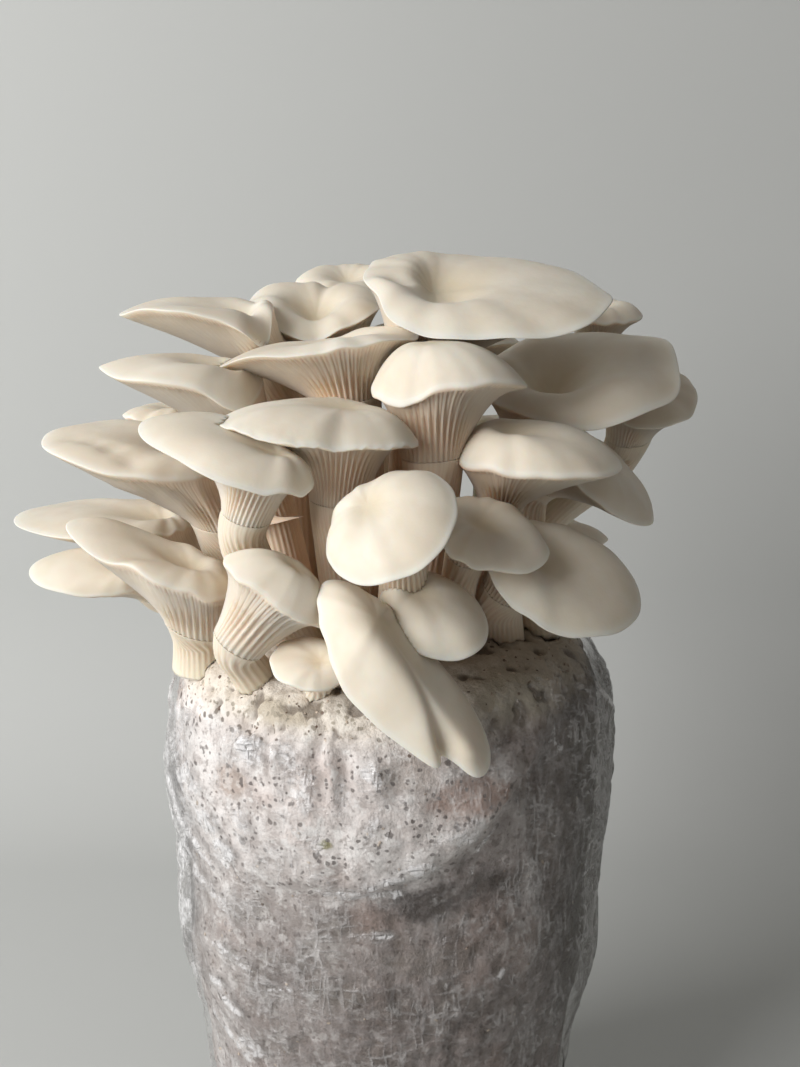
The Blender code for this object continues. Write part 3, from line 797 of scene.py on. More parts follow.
def smooth_profile():
    """The block's profile as a dense smooth line: distance along it, radius, height and the way outwards."""
    rough = np.array([(0.6, 0.0)] + list(BLOCK_PROFILE) + [(220.6, 0.0)])
    z, r = rough[:, 0], rough[:, 1]
    far = np.concatenate([[0.0], np.cumsum(np.hypot(np.diff(z), np.diff(r)))])
    dense = np.linspace(0.0, far[-1], 1600)
    line = np.stack([np.interp(dense, far, r), np.interp(dense, far, z)], axis=1)
    kernel = np.hanning(25)
    kernel = kernel / kernel.sum()
    for column in (0, 1):
        first, last = line[0, column], line[-1, column]
        padded = np.concatenate([np.full(12, first), line[:, column], np.full(12, last)])
        line[:, column] = np.convolve(padded, kernel, "valid")
    line[:, 1] = np.maximum(line[:, 1], 0.6)
    way = np.gradient(line, axis=0)
    way = way / np.linalg.norm(way, axis=1, keepdims=True)
    return dense, line[:, 0], line[:, 1], way[:, 1], -way[:, 0]


PROFILE = smooth_profile()


def on_profile(distance):
    """Radius, height and the outward direction at a distance along the profile."""
    return [np.interp(distance, PROFILE[0], column) for column in PROFILE[1:]]


def height_to_distance(height):
    """Distance along the profile at a height above the flat base."""
    start = 300
    return np.interp(height, PROFILE[2][start:], PROFILE[0][start:])


def rough_field(points, scale, seed, octaves=3):
    """Fractal noise at an array of points in millimetres, about -1 to 1."""
    shift = Vector((seed * 17.3, seed * -9.1, seed * 5.7))
    flat = points.reshape(-1, 3) / scale
    out = [noise.fractal(Vector(p) + shift, 1.0, 2.0, octaves) for p in flat]
    return np.array(out).reshape(points.shape[:-1])


# Height, along the bag's front, of the fold below which the block and its film fall back.
FOLD_LINE = (
    (-135, 157), (-118, 159), (-102, 160), (-80, 166), (-66, 178), (-55, 190), (-46, 200), (-34, 207),
)

# Soft folds of block and film as (angle, height) to (angle, height), half width and height.
FOLDS = (
    (-106.5, 211, -105.5, 194, 1.7, -1.5), (-113, 200, -111.5, 186, 1.9, -1.4),
    (-99.5, 206, -98.5, 184, 2.2, -1.8),
    (-98, 185, -101, 168, 2.4, -1.0), (-126, 207, -121, 190, 2.2, -1.0), (-109.5, 206, -109, 186, 1.6, 0.9),
    (-103, 207, -102.5, 184, 1.5, 0.9), (-133, 194, -119, 204, 1.9, 1.5), (-119, 204, -116, 192, 1.6, 0.9),
    (-93, 200, -91, 188, 1.8, 0.8), (-88, 199, -87, 186, 1.8, -1.0), (-40, 214, -46, 196, 2.4, -1.3),
    (-28, 214, -29, 192, 2.4, -1.2), (-52, 214, -62, 198, 2.0, -1.2), (-12, 212, -8, 190, 2.4, -1.3),
)


def folds_at(rows, angle, height):
    """Ridges and grooves along the listed lines, wandering a little."""
    out = np.zeros_like(angle)
    for a0, h0, a1, h1, width, size in rows:
        mid = 0.5 * (a0 + a1)
        x = wrapped(np.degrees(angle) - mid) * (BAG_RADIUS * math.pi / 180.0)
        x0, x1 = (a0 - mid) * BAG_RADIUS * math.pi / 180.0, (a1 - mid) * BAG_RADIUS * math.pi / 180.0
        dx, dh = x1 - x0, h1 - h0
        length = math.hypot(dx, dh)
        along = ((x - x0) * dx + (height - h0) * dh) / length ** 2
        off = ((x - x0) * dh - (height - h0) * dx) / length + 0.9 * np.sin(along * 5.0 + a0)
        ends = smooth(-0.08, 0.25, along) * (1.0 - smooth(0.7, 1.08, along))
        one = size * ends * np.exp(-(off / width) ** 2)
        out = np.where(np.abs(one) > np.abs(out), one, out)
    return out


def broad_relief(angle, z):
    """Rises and falls that the block and its film share: a fold across the front and soft rolls all round."""
    degrees = wrapped(np.degrees(angle))
    below = np.interp(degrees, *zip(*FOLD_LINE)) - z
    window = smooth(-140.0, -112.0, degrees) * (1.0 - smooth(-46.0, -22.0, degrees))
    out = -2.7 * window * smooth(-3.0, 5.0, below) * (1.0 - smooth(14.0, 60.0, below))
    out = out + 0.7 * window * np.exp(-((below + 5.0) / 6.0) ** 2)
    rolls = np.sin(z / 8.3 + 1.1 * np.sin(angle + 0.6) + 0.8 * np.cos(2.0 * angle))
    out = out + 0.5 * rolls * smooth(20.0, 60.0, z) * (1.0 - smooth(175.0, 200.0, z))
    return out - 0.5 + folds_at(FOLDS, angle, z)


def dullness(angle, z):
    """How dull the block looks: grey-brown where the mycelium is thin, and painted shade below the fold, down
    the shaded side and towards the bottom.
    """
    degrees = wrapped(np.degrees(angle))
    below = np.interp(degrees, *zip(*FOLD_LINE)) - z
    # Painted shade below the fold on the front and down the right side, together with thinner mycelium there.
    front = smooth(0.0, 10.0, below) * smooth(-125.0, -98.0, degrees) * (1.0 - smooth(-60.0, -40.0, degrees))
    side = smooth(-72.0, -52.0, degrees + 0.25 * (z - 190.0)) * (1.0 - smooth(60.0, 95.0, degrees))
    # Painted shade: darker towards the bottom, less so on the left side that faces the light.
    low = (0.45 + 0.42 * smooth(-150.0, -112.0, degrees)) * (1.0 - smooth(128.0, 180.0, z))
    return np.clip(np.maximum(np.maximum(front, side), low), 0.0, 1.0)


def block_surface(angle, distance):
    """Points of the block at grids of angle and distance along the profile, and how pitted, bare and dull
    with painted shade.
    """
    r, z, nr, nz = on_profile(distance)
    base = polar(r, angle, z)
    lumps = rough_field(base, 14.0, 1, 4)
    crumbs = rough_field(base, 4.6, 2, 3)
    bare = smooth(200.0, 211.0, z)
    pits = smooth(0.12, 0.45, rough_field(base, 6.0, 3, 2)) * (0.45 + 0.55 * bare)
    sink = 0.3 - 0.8 * np.clip(lumps, -1, 1) + (0.55 + 0.3 * bare) * (1 - crumbs) + 1.5 * pits
    sink = np.clip(sink, 0.0, 3.8) * smooth(4.0, 24.0, distance)
    sink = sink - broad_relief(angle, z) * smooth(4.0, 24.0, distance)
    out = polar(nr, angle, nz)
    return base - out * sink[..., None], pits, bare, dullness(angle, z)


def crumb_tree():
    """Crumbs and husks scattered on a surface: flattened grains turned every way and pressed in."""
    tree, start, end = new_tree("Scattered Crumbs", (
        ("Crumbs Per Square Metre", "NodeSocketFloat", 60000.0),
        ("Bare Share", "NodeSocketFloat", 1.0),
        ("Smallest", "NodeSocketFloat", 0.5),
        ("Largest", "NodeSocketFloat", 1.6),
        ("Grain Radius", "NodeSocketFloat", 0.0004),
        ("Seed", "NodeSocketInt", 1),
        ("Block Finish", "NodeSocketMaterial", None),
        ("Crumb Finish", "NodeSocketMaterial", None),
    ))
    bare = named_value(tree, "bare")
    share = plus(tree, times(tree, bare, start.outputs["Bare Share"]), 0.12)
    density = times(tree, share, start.outputs["Crumbs Per Square Metre"])
    points = wired(tree, "GeometryNodeDistributePointsOnFaces", (
        ("Mesh", start.outputs["Geometry"]), ("Density", density), ("Seed", start.outputs["Seed"])))
    grain = wired(tree, "GeometryNodeMeshIcoSphere", (
        ("Radius", start.outputs["Grain Radius"]), ("Subdivisions", 1)))
    size = wired(tree, "FunctionNodeRandomValue", (
        ("Min", start.outputs["Smallest"]), ("Max", start.outputs["Largest"]),
        ("Seed", start.outputs["Seed"])), data_type="FLOAT")
    shape = wired(tree, "FunctionNodeRandomValue", (("Seed", 31),), data_type="FLOAT_VECTOR")
    shape.inputs[0].default_value = (0.6, 0.5, 0.35)
    shape.inputs[1].default_value = (1.9, 1.1, 0.7)
    scale = wired(tree, "ShaderNodeVectorMath", ((0, shape.outputs[0]), ("Scale", size.outputs["Value"])),
                  operation="SCALE")
    spin = wired(tree, "FunctionNodeRandomValue", (("Seed", 57),), data_type="FLOAT_VECTOR")
    spin.inputs[0].default_value = (-0.4, -0.4, 0.0)
    spin.inputs[1].default_value = (0.4, 0.4, 6.28)
    turned = wired(tree, "FunctionNodeRotateRotation", (
        ("Rotation", points.outputs["Rotation"]), ("Rotate By", spin.outputs[0])), rotation_space="LOCAL")
    placed = wired(tree, "GeometryNodeInstanceOnPoints", (
        ("Points", points.outputs["Points"]), ("Instance", grain.outputs["Mesh"]),
        ("Rotation", turned.outputs[0]), ("Scale", scale.outputs[0])))
    real = wired(tree, "GeometryNodeRealizeInstances", (("Geometry", placed.outputs[0]),))
    crumbs = wired(tree, "GeometryNodeSetMaterial", (
        ("Geometry", real.outputs[0]), ("Material", start.outputs["Crumb Finish"])))
    ground = wired(tree, "GeometryNodeSetMaterial", (
        ("Geometry", start.outputs["Geometry"]), ("Material", start.outputs["Block Finish"])))
    both = tree.nodes.new("GeometryNodeJoinGeometry")
    tree.links.new(crumbs.outputs[0], both.inputs[0])
    tree.links.new(ground.outputs[0], both.inputs[0])
    tree.links.new(both.outputs[0], end.inputs[0])
    return tree


def build_block(finish, crumb):
    """The overgrown block: lumpy all over, crumbly and pitted where it is bare at the top."""
    total = PROFILE[0][-1]
    rows = np.concatenate([
        np.linspace(6.0, 40.0, 6),
        np.linspace(48.0, 0.80 * total, 118)[:-1],
        np.linspace(0.80 * total, total - 4.0, 42),
    ])
    turn = np.arange(BLOCK_COLUMNS) * (2.0 * math.pi / BLOCK_COLUMNS)
    angle, distance = np.meshgrid(turn, rows)
    points, pits, bare, dull = block_surface(angle, distance)
    skin = Skin()
    skin.ring(np.array([0.0, 0.0, 0.6]), pit=0.0, bare=0.0, dull=0.5)
    for row in range(len(rows)):
        skin.ring(points[row], pit=pits[row], bare=bare[row], dull=dull[row])
    skin.ring(points[-1].mean(axis=0), pit=0.0, bare=1.0, dull=0.0)
    block = skin.piece("overgrown_block")
    return shaped(block, crumb_tree(), **{"Crumbs Per Square Metre": 34000.0, "Bare Share": 1.6, "Seed": 4,
                                          "Block Finish": finish, "Crumb Finish": crumb})


# Height of the film's upper edge, all the way round as (angle, height).
FILM_RIM = (
    (-180, 204), (-165, 202), (-150, 201), (-135, 203), (-120, 204), (-110, 205), (-100, 206), (-90, 208),
    (-75, 211), (-60, 213), (-40, 213.5), (-20, 213.5), (0, 213), (20, 211), (45, 213.5), (70, 212),
    (90, 211), (110, 209), (135, 211), (160, 208), (180, 204),
)

# Creases of the film as (angle, height) to (angle, height), half width and height of the ridge.
CREASES = (
    (-156, 183, -140, 174, 1.5, 1.0), (-160, 172, -137, 154, 1.9, 1.3), (-152, 151, -129, 142, 1.8, 1.2),
    (-140, 133, -124, 127, 1.6, 1.0), (-143, 117, -127, 110, 1.5, 1.0), (-146, 106, -126, 92, 1.6, 1.1),
    (-165, 190, -148, 180, 1.5, 0.9), (-165, 160, -146, 150, 1.5, 0.9), (-102, 158, -83, 168, 1.7, 1.0),
    (-102, 146, -84, 146, 1.4, 0.7), (-22, 208, -15, 190, 1.6, 1.0), (-46, 206, -42, 190, 1.5, 0.8),
)


def crease_field(angle, height):
    """Ridges of the film: the listed ones and seeded ones all round."""
    chance = np.random.default_rng(77)
    rows = list(CREASES)
    for _ in range(150):
        a = chance.uniform(-180.0, 180.0)
        if -165.0 < a < -60.0 and chance.uniform() < 0.7:
            continue
        h = chance.uniform(14.0, 200.0)
        length = chance.uniform(8.0, 26.0)
        slope = math.radians(chance.choice([-28.0, 24.0, -8.0, 60.0]) + chance.normal() * 9.0)
        far = a + math.degrees(length * math.cos(slope) / BAG_RADIUS)
        rows.append((a, h, far, h + length * math.sin(slope),
                     chance.uniform(0.9, 1.5), chance.uniform(0.3, 0.8)))
    for a in np.arange(-180.0, 180.0, 9.0):
        if not -150.0 < a < -15.0:
            a = a + chance.uniform(-3.0, 3.0)
            rows.append((a, 214.0, a + chance.uniform(-6.0, 6.0), chance.uniform(184.0, 197.0), 1.3,
                         chance.uniform(0.5, 1.1)))
    return folds_at(rows, angle, height)


def folded(places):
    """Sharp folds along the level lines of a noise, 0 to 1."""
    return smooth(0.0, 0.75, 1.0 - np.abs(places) * 2.6)


def beside(angle, direction, width):
    """1 on one side of the bag, fading to 0 round it."""
    return np.exp(-((np.degrees(angle) - direction) / width) ** 2)


def build_film(finish):
    """The film sleeve: a thin wall, creased and standing off the block in places."""
    turn = np.arange(FILM_COLUMNS) * (2.0 * math.pi / FILM_COLUMNS) - math.pi
    ragged = 0.8 * wander(5, turn, 9, 30) + 0.5 * wander(6, turn, 30, 60)
    rim = height_to_distance(np.interp(np.degrees(turn), *zip(*FILM_RIM)) + ragged * 1.2)
    share = np.concatenate([np.linspace(0.0, 0.2, 10)[1:], np.linspace(0.2, 1.0, FILM_ROWS - 9)[1:]])
    angle, part = np.meshgrid(turn, share)
    distance = 10.0 + part * (rim - 10.0)[None, :]
    r, z, nr, nz = on_profile(distance)
    out = polar(nr, angle, nz)
    base = polar(r, angle, z)
    crease = crease_field(angle, z)
    across, deep = np.degrees(angle) * 1.15, 40.0 * np.sin(angle)
    down = np.stack([across / 3.6, deep / 40.0, z / 15.0], axis=-1)
    slant = np.stack([(across * 0.77 + z * 0.64) / 15.0, deep / 40.0, (across * -0.64 + z * 0.77) / 4.2],
                     axis=-1)
    upright = folded(rough_field(down, 1.0, 9, 2)) * smooth(168.0, 190.0, z)
    sloping = folded(rough_field(slant, 1.0, 14, 2)) * (1.0 - smooth(176.0, 196.0, z))
    crinkle = upright + sloping
    slack = 1.0 - np.abs(rough_field(base * np.array([1.0, 1.0, 0.6]), 30.0, 12, 2)) * 2.0
    right = beside(angle, -8.0, 26.0) * smooth(60.0, 120.0, z) * (1.0 - smooth(196.0, 212.0, z))
    left = beside(angle, -172.0, 16.0) + beside(angle, 188.0, 16.0)
    left = left * smooth(80.0, 140.0, z) * (1.0 - smooth(172.0, 192.0, z))
    stand = 0.35 + crease + 0.5 * crinkle + 0.4 * np.clip(slack, 0, 1) + 3.0 * right + 2.0 * left
    crease = np.clip(0.9 * crease + 0.25 * crinkle, 0.0, 2.0)
    dull = dullness(angle, z)
    stand = stand + broad_relief(angle, z)
    stand = stand * smooth(10.0, 60.0, distance) + 0.3 * (1.0 - smooth(10.0, 60.0, distance))
    skin = Skin()
    skin.ring(np.array([0.0, 0.0, 0.0]), crest=0.0)
    outside, inside = list(range(len(share))), list(reversed(range(len(share))))
    for rows, wall, floor in ((outside, FILM_WALL, 0.0), (inside, 0.0, 0.25)):
        for row in rows:
            points = base[row] + out[row] * (stand[row] + wall)[:, None]
            points[:, 2] = np.maximum(points[:, 2], floor)
            skin.ring(points, crest=crease[row], off=right[row] + left[row], dull=dull[row])
    skin.ring(np.array([0.0, 0.0, 0.25]), crest=0.0)
    film = skin.piece("film_sleeve")
    film.data.materials.append(finish)
    return film


# ---------------------------------------------------------------- finishes

def shader(name):
    """A new material, its tree and its Principled shader."""
    material = bpy.data.materials.new(name)
    material.use_nodes = True
    tree = material.node_tree
    return material, tree, tree.nodes["Principled BSDF"]


def attribute(tree, name):
    """A named value of the piece."""
    return wired(tree, "ShaderNodeAttribute", attribute_name=name).outputs["Fac"]


def mixed(tree, share, a, b, mode="MIX"):
    """A colour mix."""
    node = tree.nodes.new("ShaderNodeMix")
    node.data_type = "RGBA"
    node.blend_type = mode
    for key, value in ((0, share), (6, a), (7, b)):
        if isinstance(value, bpy.types.NodeSocket):
            tree.links.new(value, node.inputs[key])
        elif key == 0:
            node.inputs[key].default_value = value
        else:
            node.inputs[key].default_value = (*value, 1.0)
    return node.outputs[2]


def ramp(tree, value, low, high):
    """A value stretched so that low gives 0 and high gives 1, with soft ends."""
    node = wired(tree, "ShaderNodeMapRange", (("Value", value), ("From Min", low), ("From Max", high)),
                 interpolation_type="SMOOTHSTEP")
    return node.outputs[0]


def noise_at(tree, scale, detail=3.0, rough=0.5, w=0.0):
    """Noise over the piece's own place."""
    node = wired(tree, "ShaderNodeTexNoise", (
        ("Vector", own_place(tree)), ("Scale", scale), ("Detail", detail), ("Roughness", rough), ("W", w)),
        noise_dimensions="4D")
    return node.outputs[0]


def new_group(name, inputs, outputs):
    """A shader node group with its inputs, as (name, default), and its outputs, which are numbers."""
    tree = bpy.data.node_groups.new(name, "ShaderNodeTree")
    for label, value in inputs:
        kind = "NodeSocketFloat" if isinstance(value, float) else "NodeSocketVector"
        tree.interface.new_socket(label, in_out="INPUT", socket_type=kind).default_value = value
    for label in outputs:
        tree.interface.new_socket(label, in_out="OUTPUT", socket_type="NodeSocketFloat")
    return tree, tree.nodes.new("NodeGroupInput").outputs, tree.nodes.new("NodeGroupOutput").inputs


def own_place(tree):
    """The place of a point in the piece's own axes."""
    return wired(tree, "ShaderNodeTexCoord").outputs["Object"]


def vectors(tree, operation, first, *others, **named):
    """A Vector Math node's output."""
    inputs = list(enumerate((first, *others))) + list(named.items())
    return wired(tree, "ShaderNodeVectorMath", inputs, operation=operation)


def cluster_shade_group():
    """How far inside the cluster a point lies, the mask of the painted warm shade: 1 near its middle, 0 at
    its outside and top.
    """
    tree, given, result = new_group("Cluster Painted Shade", (("Inner Radius", 0.022), ("Outer Radius", 0.062)),
                                    ("Mask",))
    x, y, z = wired(tree, "ShaderNodeSeparateXYZ", ((0, own_place(tree)),)).outputs
    away = maths(tree, "SQRT", plus(tree, times(tree, x, x), times(tree, y, y)))
    span = minus(tree, given["Outer Radius"], given["Inner Radius"])
    inside = minus(tree, given["Outer Radius"], away)
    inside = maths(tree, "DIVIDE", inside, span, clamp=True)
    tree.links.new(times(tree, inside, ramp(tree, z, 0.308, 0.27)), result["Mask"])
    return tree


def flesh_group():
    """What caps and stems share: soft patches, a fine grain, the grooves of the folds, where painted shade
    goes, and thin lines.
    """
    tree, given, result = new_group("Mushroom Flesh", (
        ("Patch Scale", 45.0), ("Grain Scale", 420.0), ("Lines Per Fold", 3.0)),
        ("Patch", "Grain", "Groove", "Lines"))
    patch = ramp(tree, noise_at(tree, given["Patch Scale"], 3.0, 0.6), 0.35, 0.68)
    tree.links.new(patch, result["Patch"])
    tree.links.new(noise_at(tree, given["Grain Scale"], 2.0, 0.6, 3.0), result["Grain"])
    tree.links.new(minus(tree, 1.0, attribute(tree, "ridge")), result["Groove"])
    wave = maths(tree, "COSINE", times(tree, attribute(tree, "phase"), given["Lines Per Fold"]))
    tree.links.new(times(tree, plus(tree, wave, 1.0), 0.5), result["Lines"])
    return tree


def flesh_finish(name, stem, pattern, cluster_shade):
    """Pale mushroom flesh, with painted warm shade in the middle of the cluster and painted shade in the
    grooves of its folds.
    """
    material, tree, main = shader(name)
    shared = wired(tree, "ShaderNodeGroup", node_tree=pattern).outputs
    patch, grain, groove, lines = (shared[label] for label in ("Patch", "Grain", "Groove", "Lines"))
    if stem:
        fade = ramp(tree, attribute(tree, "along"), 0.9, 0.2)
        color = mixed(tree, patch, (0.82, 0.73, 0.58), (0.88, 0.81, 0.68))
        # Painted shade in the grooves between the flutes, fading down the stem.
        color = mixed(tree, times(tree, groove, 0.42, fade), color, (0.60, 0.43, 0.31))
        color = mixed(tree, times(tree, lines, fade, 0.16), color, (0.58, 0.42, 0.31))
        share = 0.6
    else:
        radial = attribute(tree, "radial")
        side = attribute(tree, "side")
        top = mixed(tree, patch, (0.78, 0.70, 0.575), (0.86, 0.80, 0.69))
        top = mixed(tree, times(tree, ramp(tree, radial, 0.45, 0.05), 0.5), top, (0.74, 0.62, 0.42))
        # Painted light: the thin edge of the cap made paler, as if lit through.
        top = mixed(tree, times(tree, ramp(tree, radial, 0.90, 1.0), 0.7), top, (0.88, 0.84, 0.76))
        gill = mixed(tree, patch, (0.82, 0.72, 0.585), (0.88, 0.80, 0.68))
        # Painted shade in the grooves between the gills.
        gill = mixed(tree, times(tree, groove, 0.45), gill, (0.60, 0.42, 0.31))
        gill = mixed(tree, times(tree, lines, 0.2), gill, (0.58, 0.41, 0.31))
        color = mixed(tree, ramp(tree, side, 0.5, 0.9), top, gill)
        share = times(tree, ramp(tree, side, 0.3, 0.9), 0.85)
    # Painted shade: a warm, darker tone deep in the cluster, mostly on the gill side.
    inner = wired(tree, "ShaderNodeGroup", node_tree=cluster_shade).outputs["Mask"]
    color = mixed(tree, times(tree, inner, share), color, (0.74, 0.50, 0.34))
    tree.links.new(color, main.inputs["Base Color"])
    tree.links.new(plus(tree, times(tree, grain, 0.25), 0.42), main.inputs["Roughness"])
    bump = wired(tree, "ShaderNodeBump", (("Height", grain), ("Strength", 0.12), ("Distance", 0.0006)))
    tree.links.new(bump.outputs[0], main.inputs["Normal"])
    for label, value in (("Subsurface Weight", 0.35), ("Subsurface Radius", (1.0, 0.62, 0.38)),
                         ("Subsurface Scale", 0.004), ("Specular IOR Level", 0.35)):
        main.inputs[label].default_value = value
    return material


def fleck_group():
    """Scattered dark flecks as a mask."""
    tree, given, result = new_group("Scattered Flecks", (
        ("Scale", 300.0), ("Amount", 0.4), ("Radius", 0.3), ("Raggedness", 0.002)), ("Mask",))
    place = own_place(tree)
    warp = wired(tree, "ShaderNodeTexNoise", (("Vector", place), ("Scale", 480.0), ("Detail", 2.0)))
    warp = vectors(tree, "SUBTRACT", warp.outputs["Color"], (0.5, 0.5, 0.5)).outputs[0]
    warp = vectors(tree, "SCALE", warp, Scale=given["Raggedness"]).outputs[0]
    place = vectors(tree, "ADD", place, warp).outputs[0]
    cells = wired(tree, "ShaderNodeTexVoronoi", (("Vector", place), ("Scale", given["Scale"])))
    chance = wired(tree, "ShaderNodeSeparateColor", (("Color", cells.outputs["Color"]),)).outputs
    size = times(tree, given["Radius"], plus(tree, chance["Green"], 0.45))
    near = minus(tree, size, cells.outputs["Distance"])
    near = maths(tree, "MULTIPLY", near, 9.0, clamp=True)
    kept = maths(tree, "LESS_THAN", chance["Red"], given["Amount"])
    tree.links.new(times(tree, near, kept), result["Mask"])
    return tree


def stain_group():
    """One ragged patch round a spot of the piece, as a mask."""
    nowhere = (0.0, 0.0, 0.0)
    tree, given, result = new_group("Ragged Patch", (
        ("Centre", nowhere), ("Spread", nowhere), ("Roughness", 0.0)), ("Mask",))
    away = vectors(tree, "SUBTRACT", own_place(tree), given["Centre"]).outputs[0]
    away = vectors(tree, "DIVIDE", away, given["Spread"]).outputs[0]
    far = vectors(tree, "LENGTH", away).outputs["Value"]
    mask = ramp(tree, plus(tree, far, given["Roughness"]), 1.1, 0.45)
    tree.links.new(mask, result["Mask"])
    return tree


def ragged_patch(tree, group, centre, spread, rough):
    """The mask of one patch, its edge broken up by a noise value round 0."""
    node = wired(tree, "ShaderNodeGroup", (
        ("Centre", tuple(v * MM for v in centre)), ("Spread", tuple(v * MM for v in spread)),
        ("Roughness", rough)), node_tree=group)
    return node.outputs["Mask"]


# Patches of the block as (centre, spread, colour, strength), in millimetres.
PATCHES = (
    ((10.3, -64.5, 154.5), (15, 14, 7.5), (0.085, 0.07, 0.065), 0.9),
    ((30, -58, 157), (16, 14, 5), (0.12, 0.10, 0.09), 0.7),
    ((23, -61, 188), (15, 12, 8), (0.38, 0.22, 0.16), 0.75),
    ((6, -64, 196), (10, 12, 6), (0.32, 0.26, 0.22), 0.6),
    ((-43, -51, 187), (7, 8, 6), (0.42, 0.28, 0.20), 0.6),
    ((-16, -63, 175), (2.4, 4, 1.9), (0.26, 0.24, 0.06), 0.9),
    ((36, -46, 211), (20, 12, 7), (0.22, 0.20, 0.14), 0.6),
    ((-30, -54, 209), (14, 10, 4), (0.30, 0.24, 0.16), 0.6),
    ((12, -63, 137), (20, 14, 5), (0.22, 0.19, 0.17), 0.6),
    ((-14, -62, 126), (9, 12, 4), (0.22, 0.19, 0.17), 0.55),
    ((2, -62, 120), (3, 6, 2.4), (0.14, 0.11, 0.10), 0.8),
    ((-20, -60, 147), (10, 12, 4), (0.25, 0.21, 0.19), 0.5),
    ((52, 40, 180), (16, 14, 9), (0.36, 0.22, 0.16), 0.6),
    ((-12, 66, 150), (20, 14, 9), (0.16, 0.13, 0.12), 0.6),
    ((-58, 30, 168), (12, 14, 8), (0.38, 0.25, 0.18), 0.55),
    ((30, 58, 112), (18, 14, 8), (0.20, 0.17, 0.15), 0.6),
)

# Milky folds of the film, the same way, their white partly painted glints.
MILKY_AND_GLINTS = (
    ((9.5, -67, 169), (4.5, 8, 4), 0.75), ((-6, -66, 160), (13, 8, 2.2), 0.6),
    ((-3.5, -66, 197), (3, 8, 4), 0.5), ((-3.5, -66, 184), (2.6, 8, 4.5), 0.5),
    ((-37, -56, 199), (6, 8, 5), 0.6), ((-22, -63, 192), (4, 8, 9), 0.35),
    ((-52, -44, 171), (5, 9, 5), 0.55), ((-46, -48, 164), (5, 9, 5), 0.55), ((-54, -38, 148), (6, 9, 3), 0.5),
    ((20, -64, 178), (6, 8, 3.5), 0.45), ((-47, -42, 130), (5, 9, 3), 0.5), ((-40, -48, 100), (7, 9, 4), 0.4),
    ((-56, -36, 182), (6, 9, 4), 0.5), ((-28, -60, 200), (5, 8, 4), 0.45), ((-40, -54, 176), (4, 8, 6), 0.35),
    ((-18, -64, 178), (3, 8, 7), 0.3), ((-12, -66, 190), (3, 8, 6), 0.35), ((-50, -40, 116), (6, 9, 3), 0.5),
)


def block_finish(patch):
    """Grain overgrown with pale mycelium: mottled, patched and full of dark flecks, with painted shade where
    it is dull and towards the bottom.
    """
    material, tree, main = shader("Overgrown grain")
    dull = attribute(tree, "dull")
    bright = minus(tree, 1.0, dull)
    cloud = ramp(tree, noise_at(tree, 45.0, 6.0, 0.68), 0.38, 0.62)
    color = mixed(tree, cloud, (0.76, 0.69, 0.66), (0.97, 0.93, 0.91))
    # Dull parts: grey-brown of thin mycelium together with painted shade.
    murky = mixed(tree, cloud, (0.18, 0.15, 0.14), (0.49, 0.44, 0.425))
    color = mixed(tree, dull, color, murky)
    # Painted shade: the dull parts darker still towards the bottom.
    height = wired(tree, "ShaderNodeSeparateXYZ", ((0, own_place(tree)),)).outputs[2]
    painted_low_shade = times(tree, ramp(tree, height, 0.185, 0.13), dull, 0.5)
    color = mixed(tree, painted_low_shade, color, (0.13, 0.105, 0.095))
    warm = ramp(tree, noise_at(tree, 30.0, 3.0, 0.6, 9.0), 0.52, 0.70)
    color = mixed(tree, times(tree, warm, 0.35), color, (0.62, 0.44, 0.37))
    coarse = ramp(tree, noise_at(tree, 150.0, 6.0, 0.74, 5.0), 0.49, 0.60)
    color = mixed(tree, times(tree, coarse, 0.48), color, (0.33, 0.27, 0.25))
    crumb = ramp(tree, noise_at(tree, 420.0, 4.0, 0.7, 7.0), 0.53, 0.66)
    color = mixed(tree, times(tree, crumb, 0.55), color, (0.20, 0.155, 0.135))
    tuft = ramp(tree, noise_at(tree, 210.0, 5.0, 0.7, 11.0), 0.52, 0.61)
    tuft = times(tree, tuft, plus(tree, times(tree, bright, 0.7), 0.18))
    color = mixed(tree, tuft, color, (0.95, 0.92, 0.90))
    rough = times(tree, minus(tree, noise_at(tree, 170.0, 4.0, 0.7), 0.5), 1.8)
    cover = minus(tree, 1.0, times(tree, tuft, 0.4))
    for centre, spread, tint, strength in PATCHES:
        mask = times(tree, ragged_patch(tree, patch, centre, spread, rough), cover)
        color = mixed(tree, times(tree, mask, strength), color, tint)
    fleck = fleck_group()
    for scale, amount, radius, ragged, strength in (
            (560.0, 0.42, 0.34, 0.0016, 0.8), (270.0, 0.30, 0.30, 0.004, 0.85),
            (130.0, 0.20, 0.22, 0.008, 0.75)):
        node = wired(tree, "ShaderNodeGroup", (
            ("Scale", scale), ("Amount", amount), ("Radius", radius),
            ("Raggedness", ragged)), node_tree=fleck)
        share = plus(tree, times(tree, bright, 0.45), 0.55)
        share = times(tree, share, strength)
        mask = times(tree, node.outputs["Mask"], share)
        color = mixed(tree, mask, color, (0.075, 0.052, 0.043))
    bare = attribute(tree, "bare")
    color = mixed(tree, times(tree, bare, 0.45), color, (0.84, 0.76, 0.60))
    pit = ramp(tree, attribute(tree, "pit"), 0.2, 0.85)
    color = mixed(tree, times(tree, pit, 0.7), color, (0.15, 0.115, 0.09))
    tree.links.new(color, main.inputs["Base Color"])
    fine = noise_at(tree, 300.0, 6.0, 0.7, 2.0)
    bump = wired(tree, "ShaderNodeBump", (("Height", fine), ("Strength", 0.9), ("Distance", 0.0016)))
    tree.links.new(bump.outputs[0], main.inputs["Normal"])
    tree.links.new(plus(tree, times(tree, fine, 0.2), 0.7), main.inputs["Roughness"])
    return material


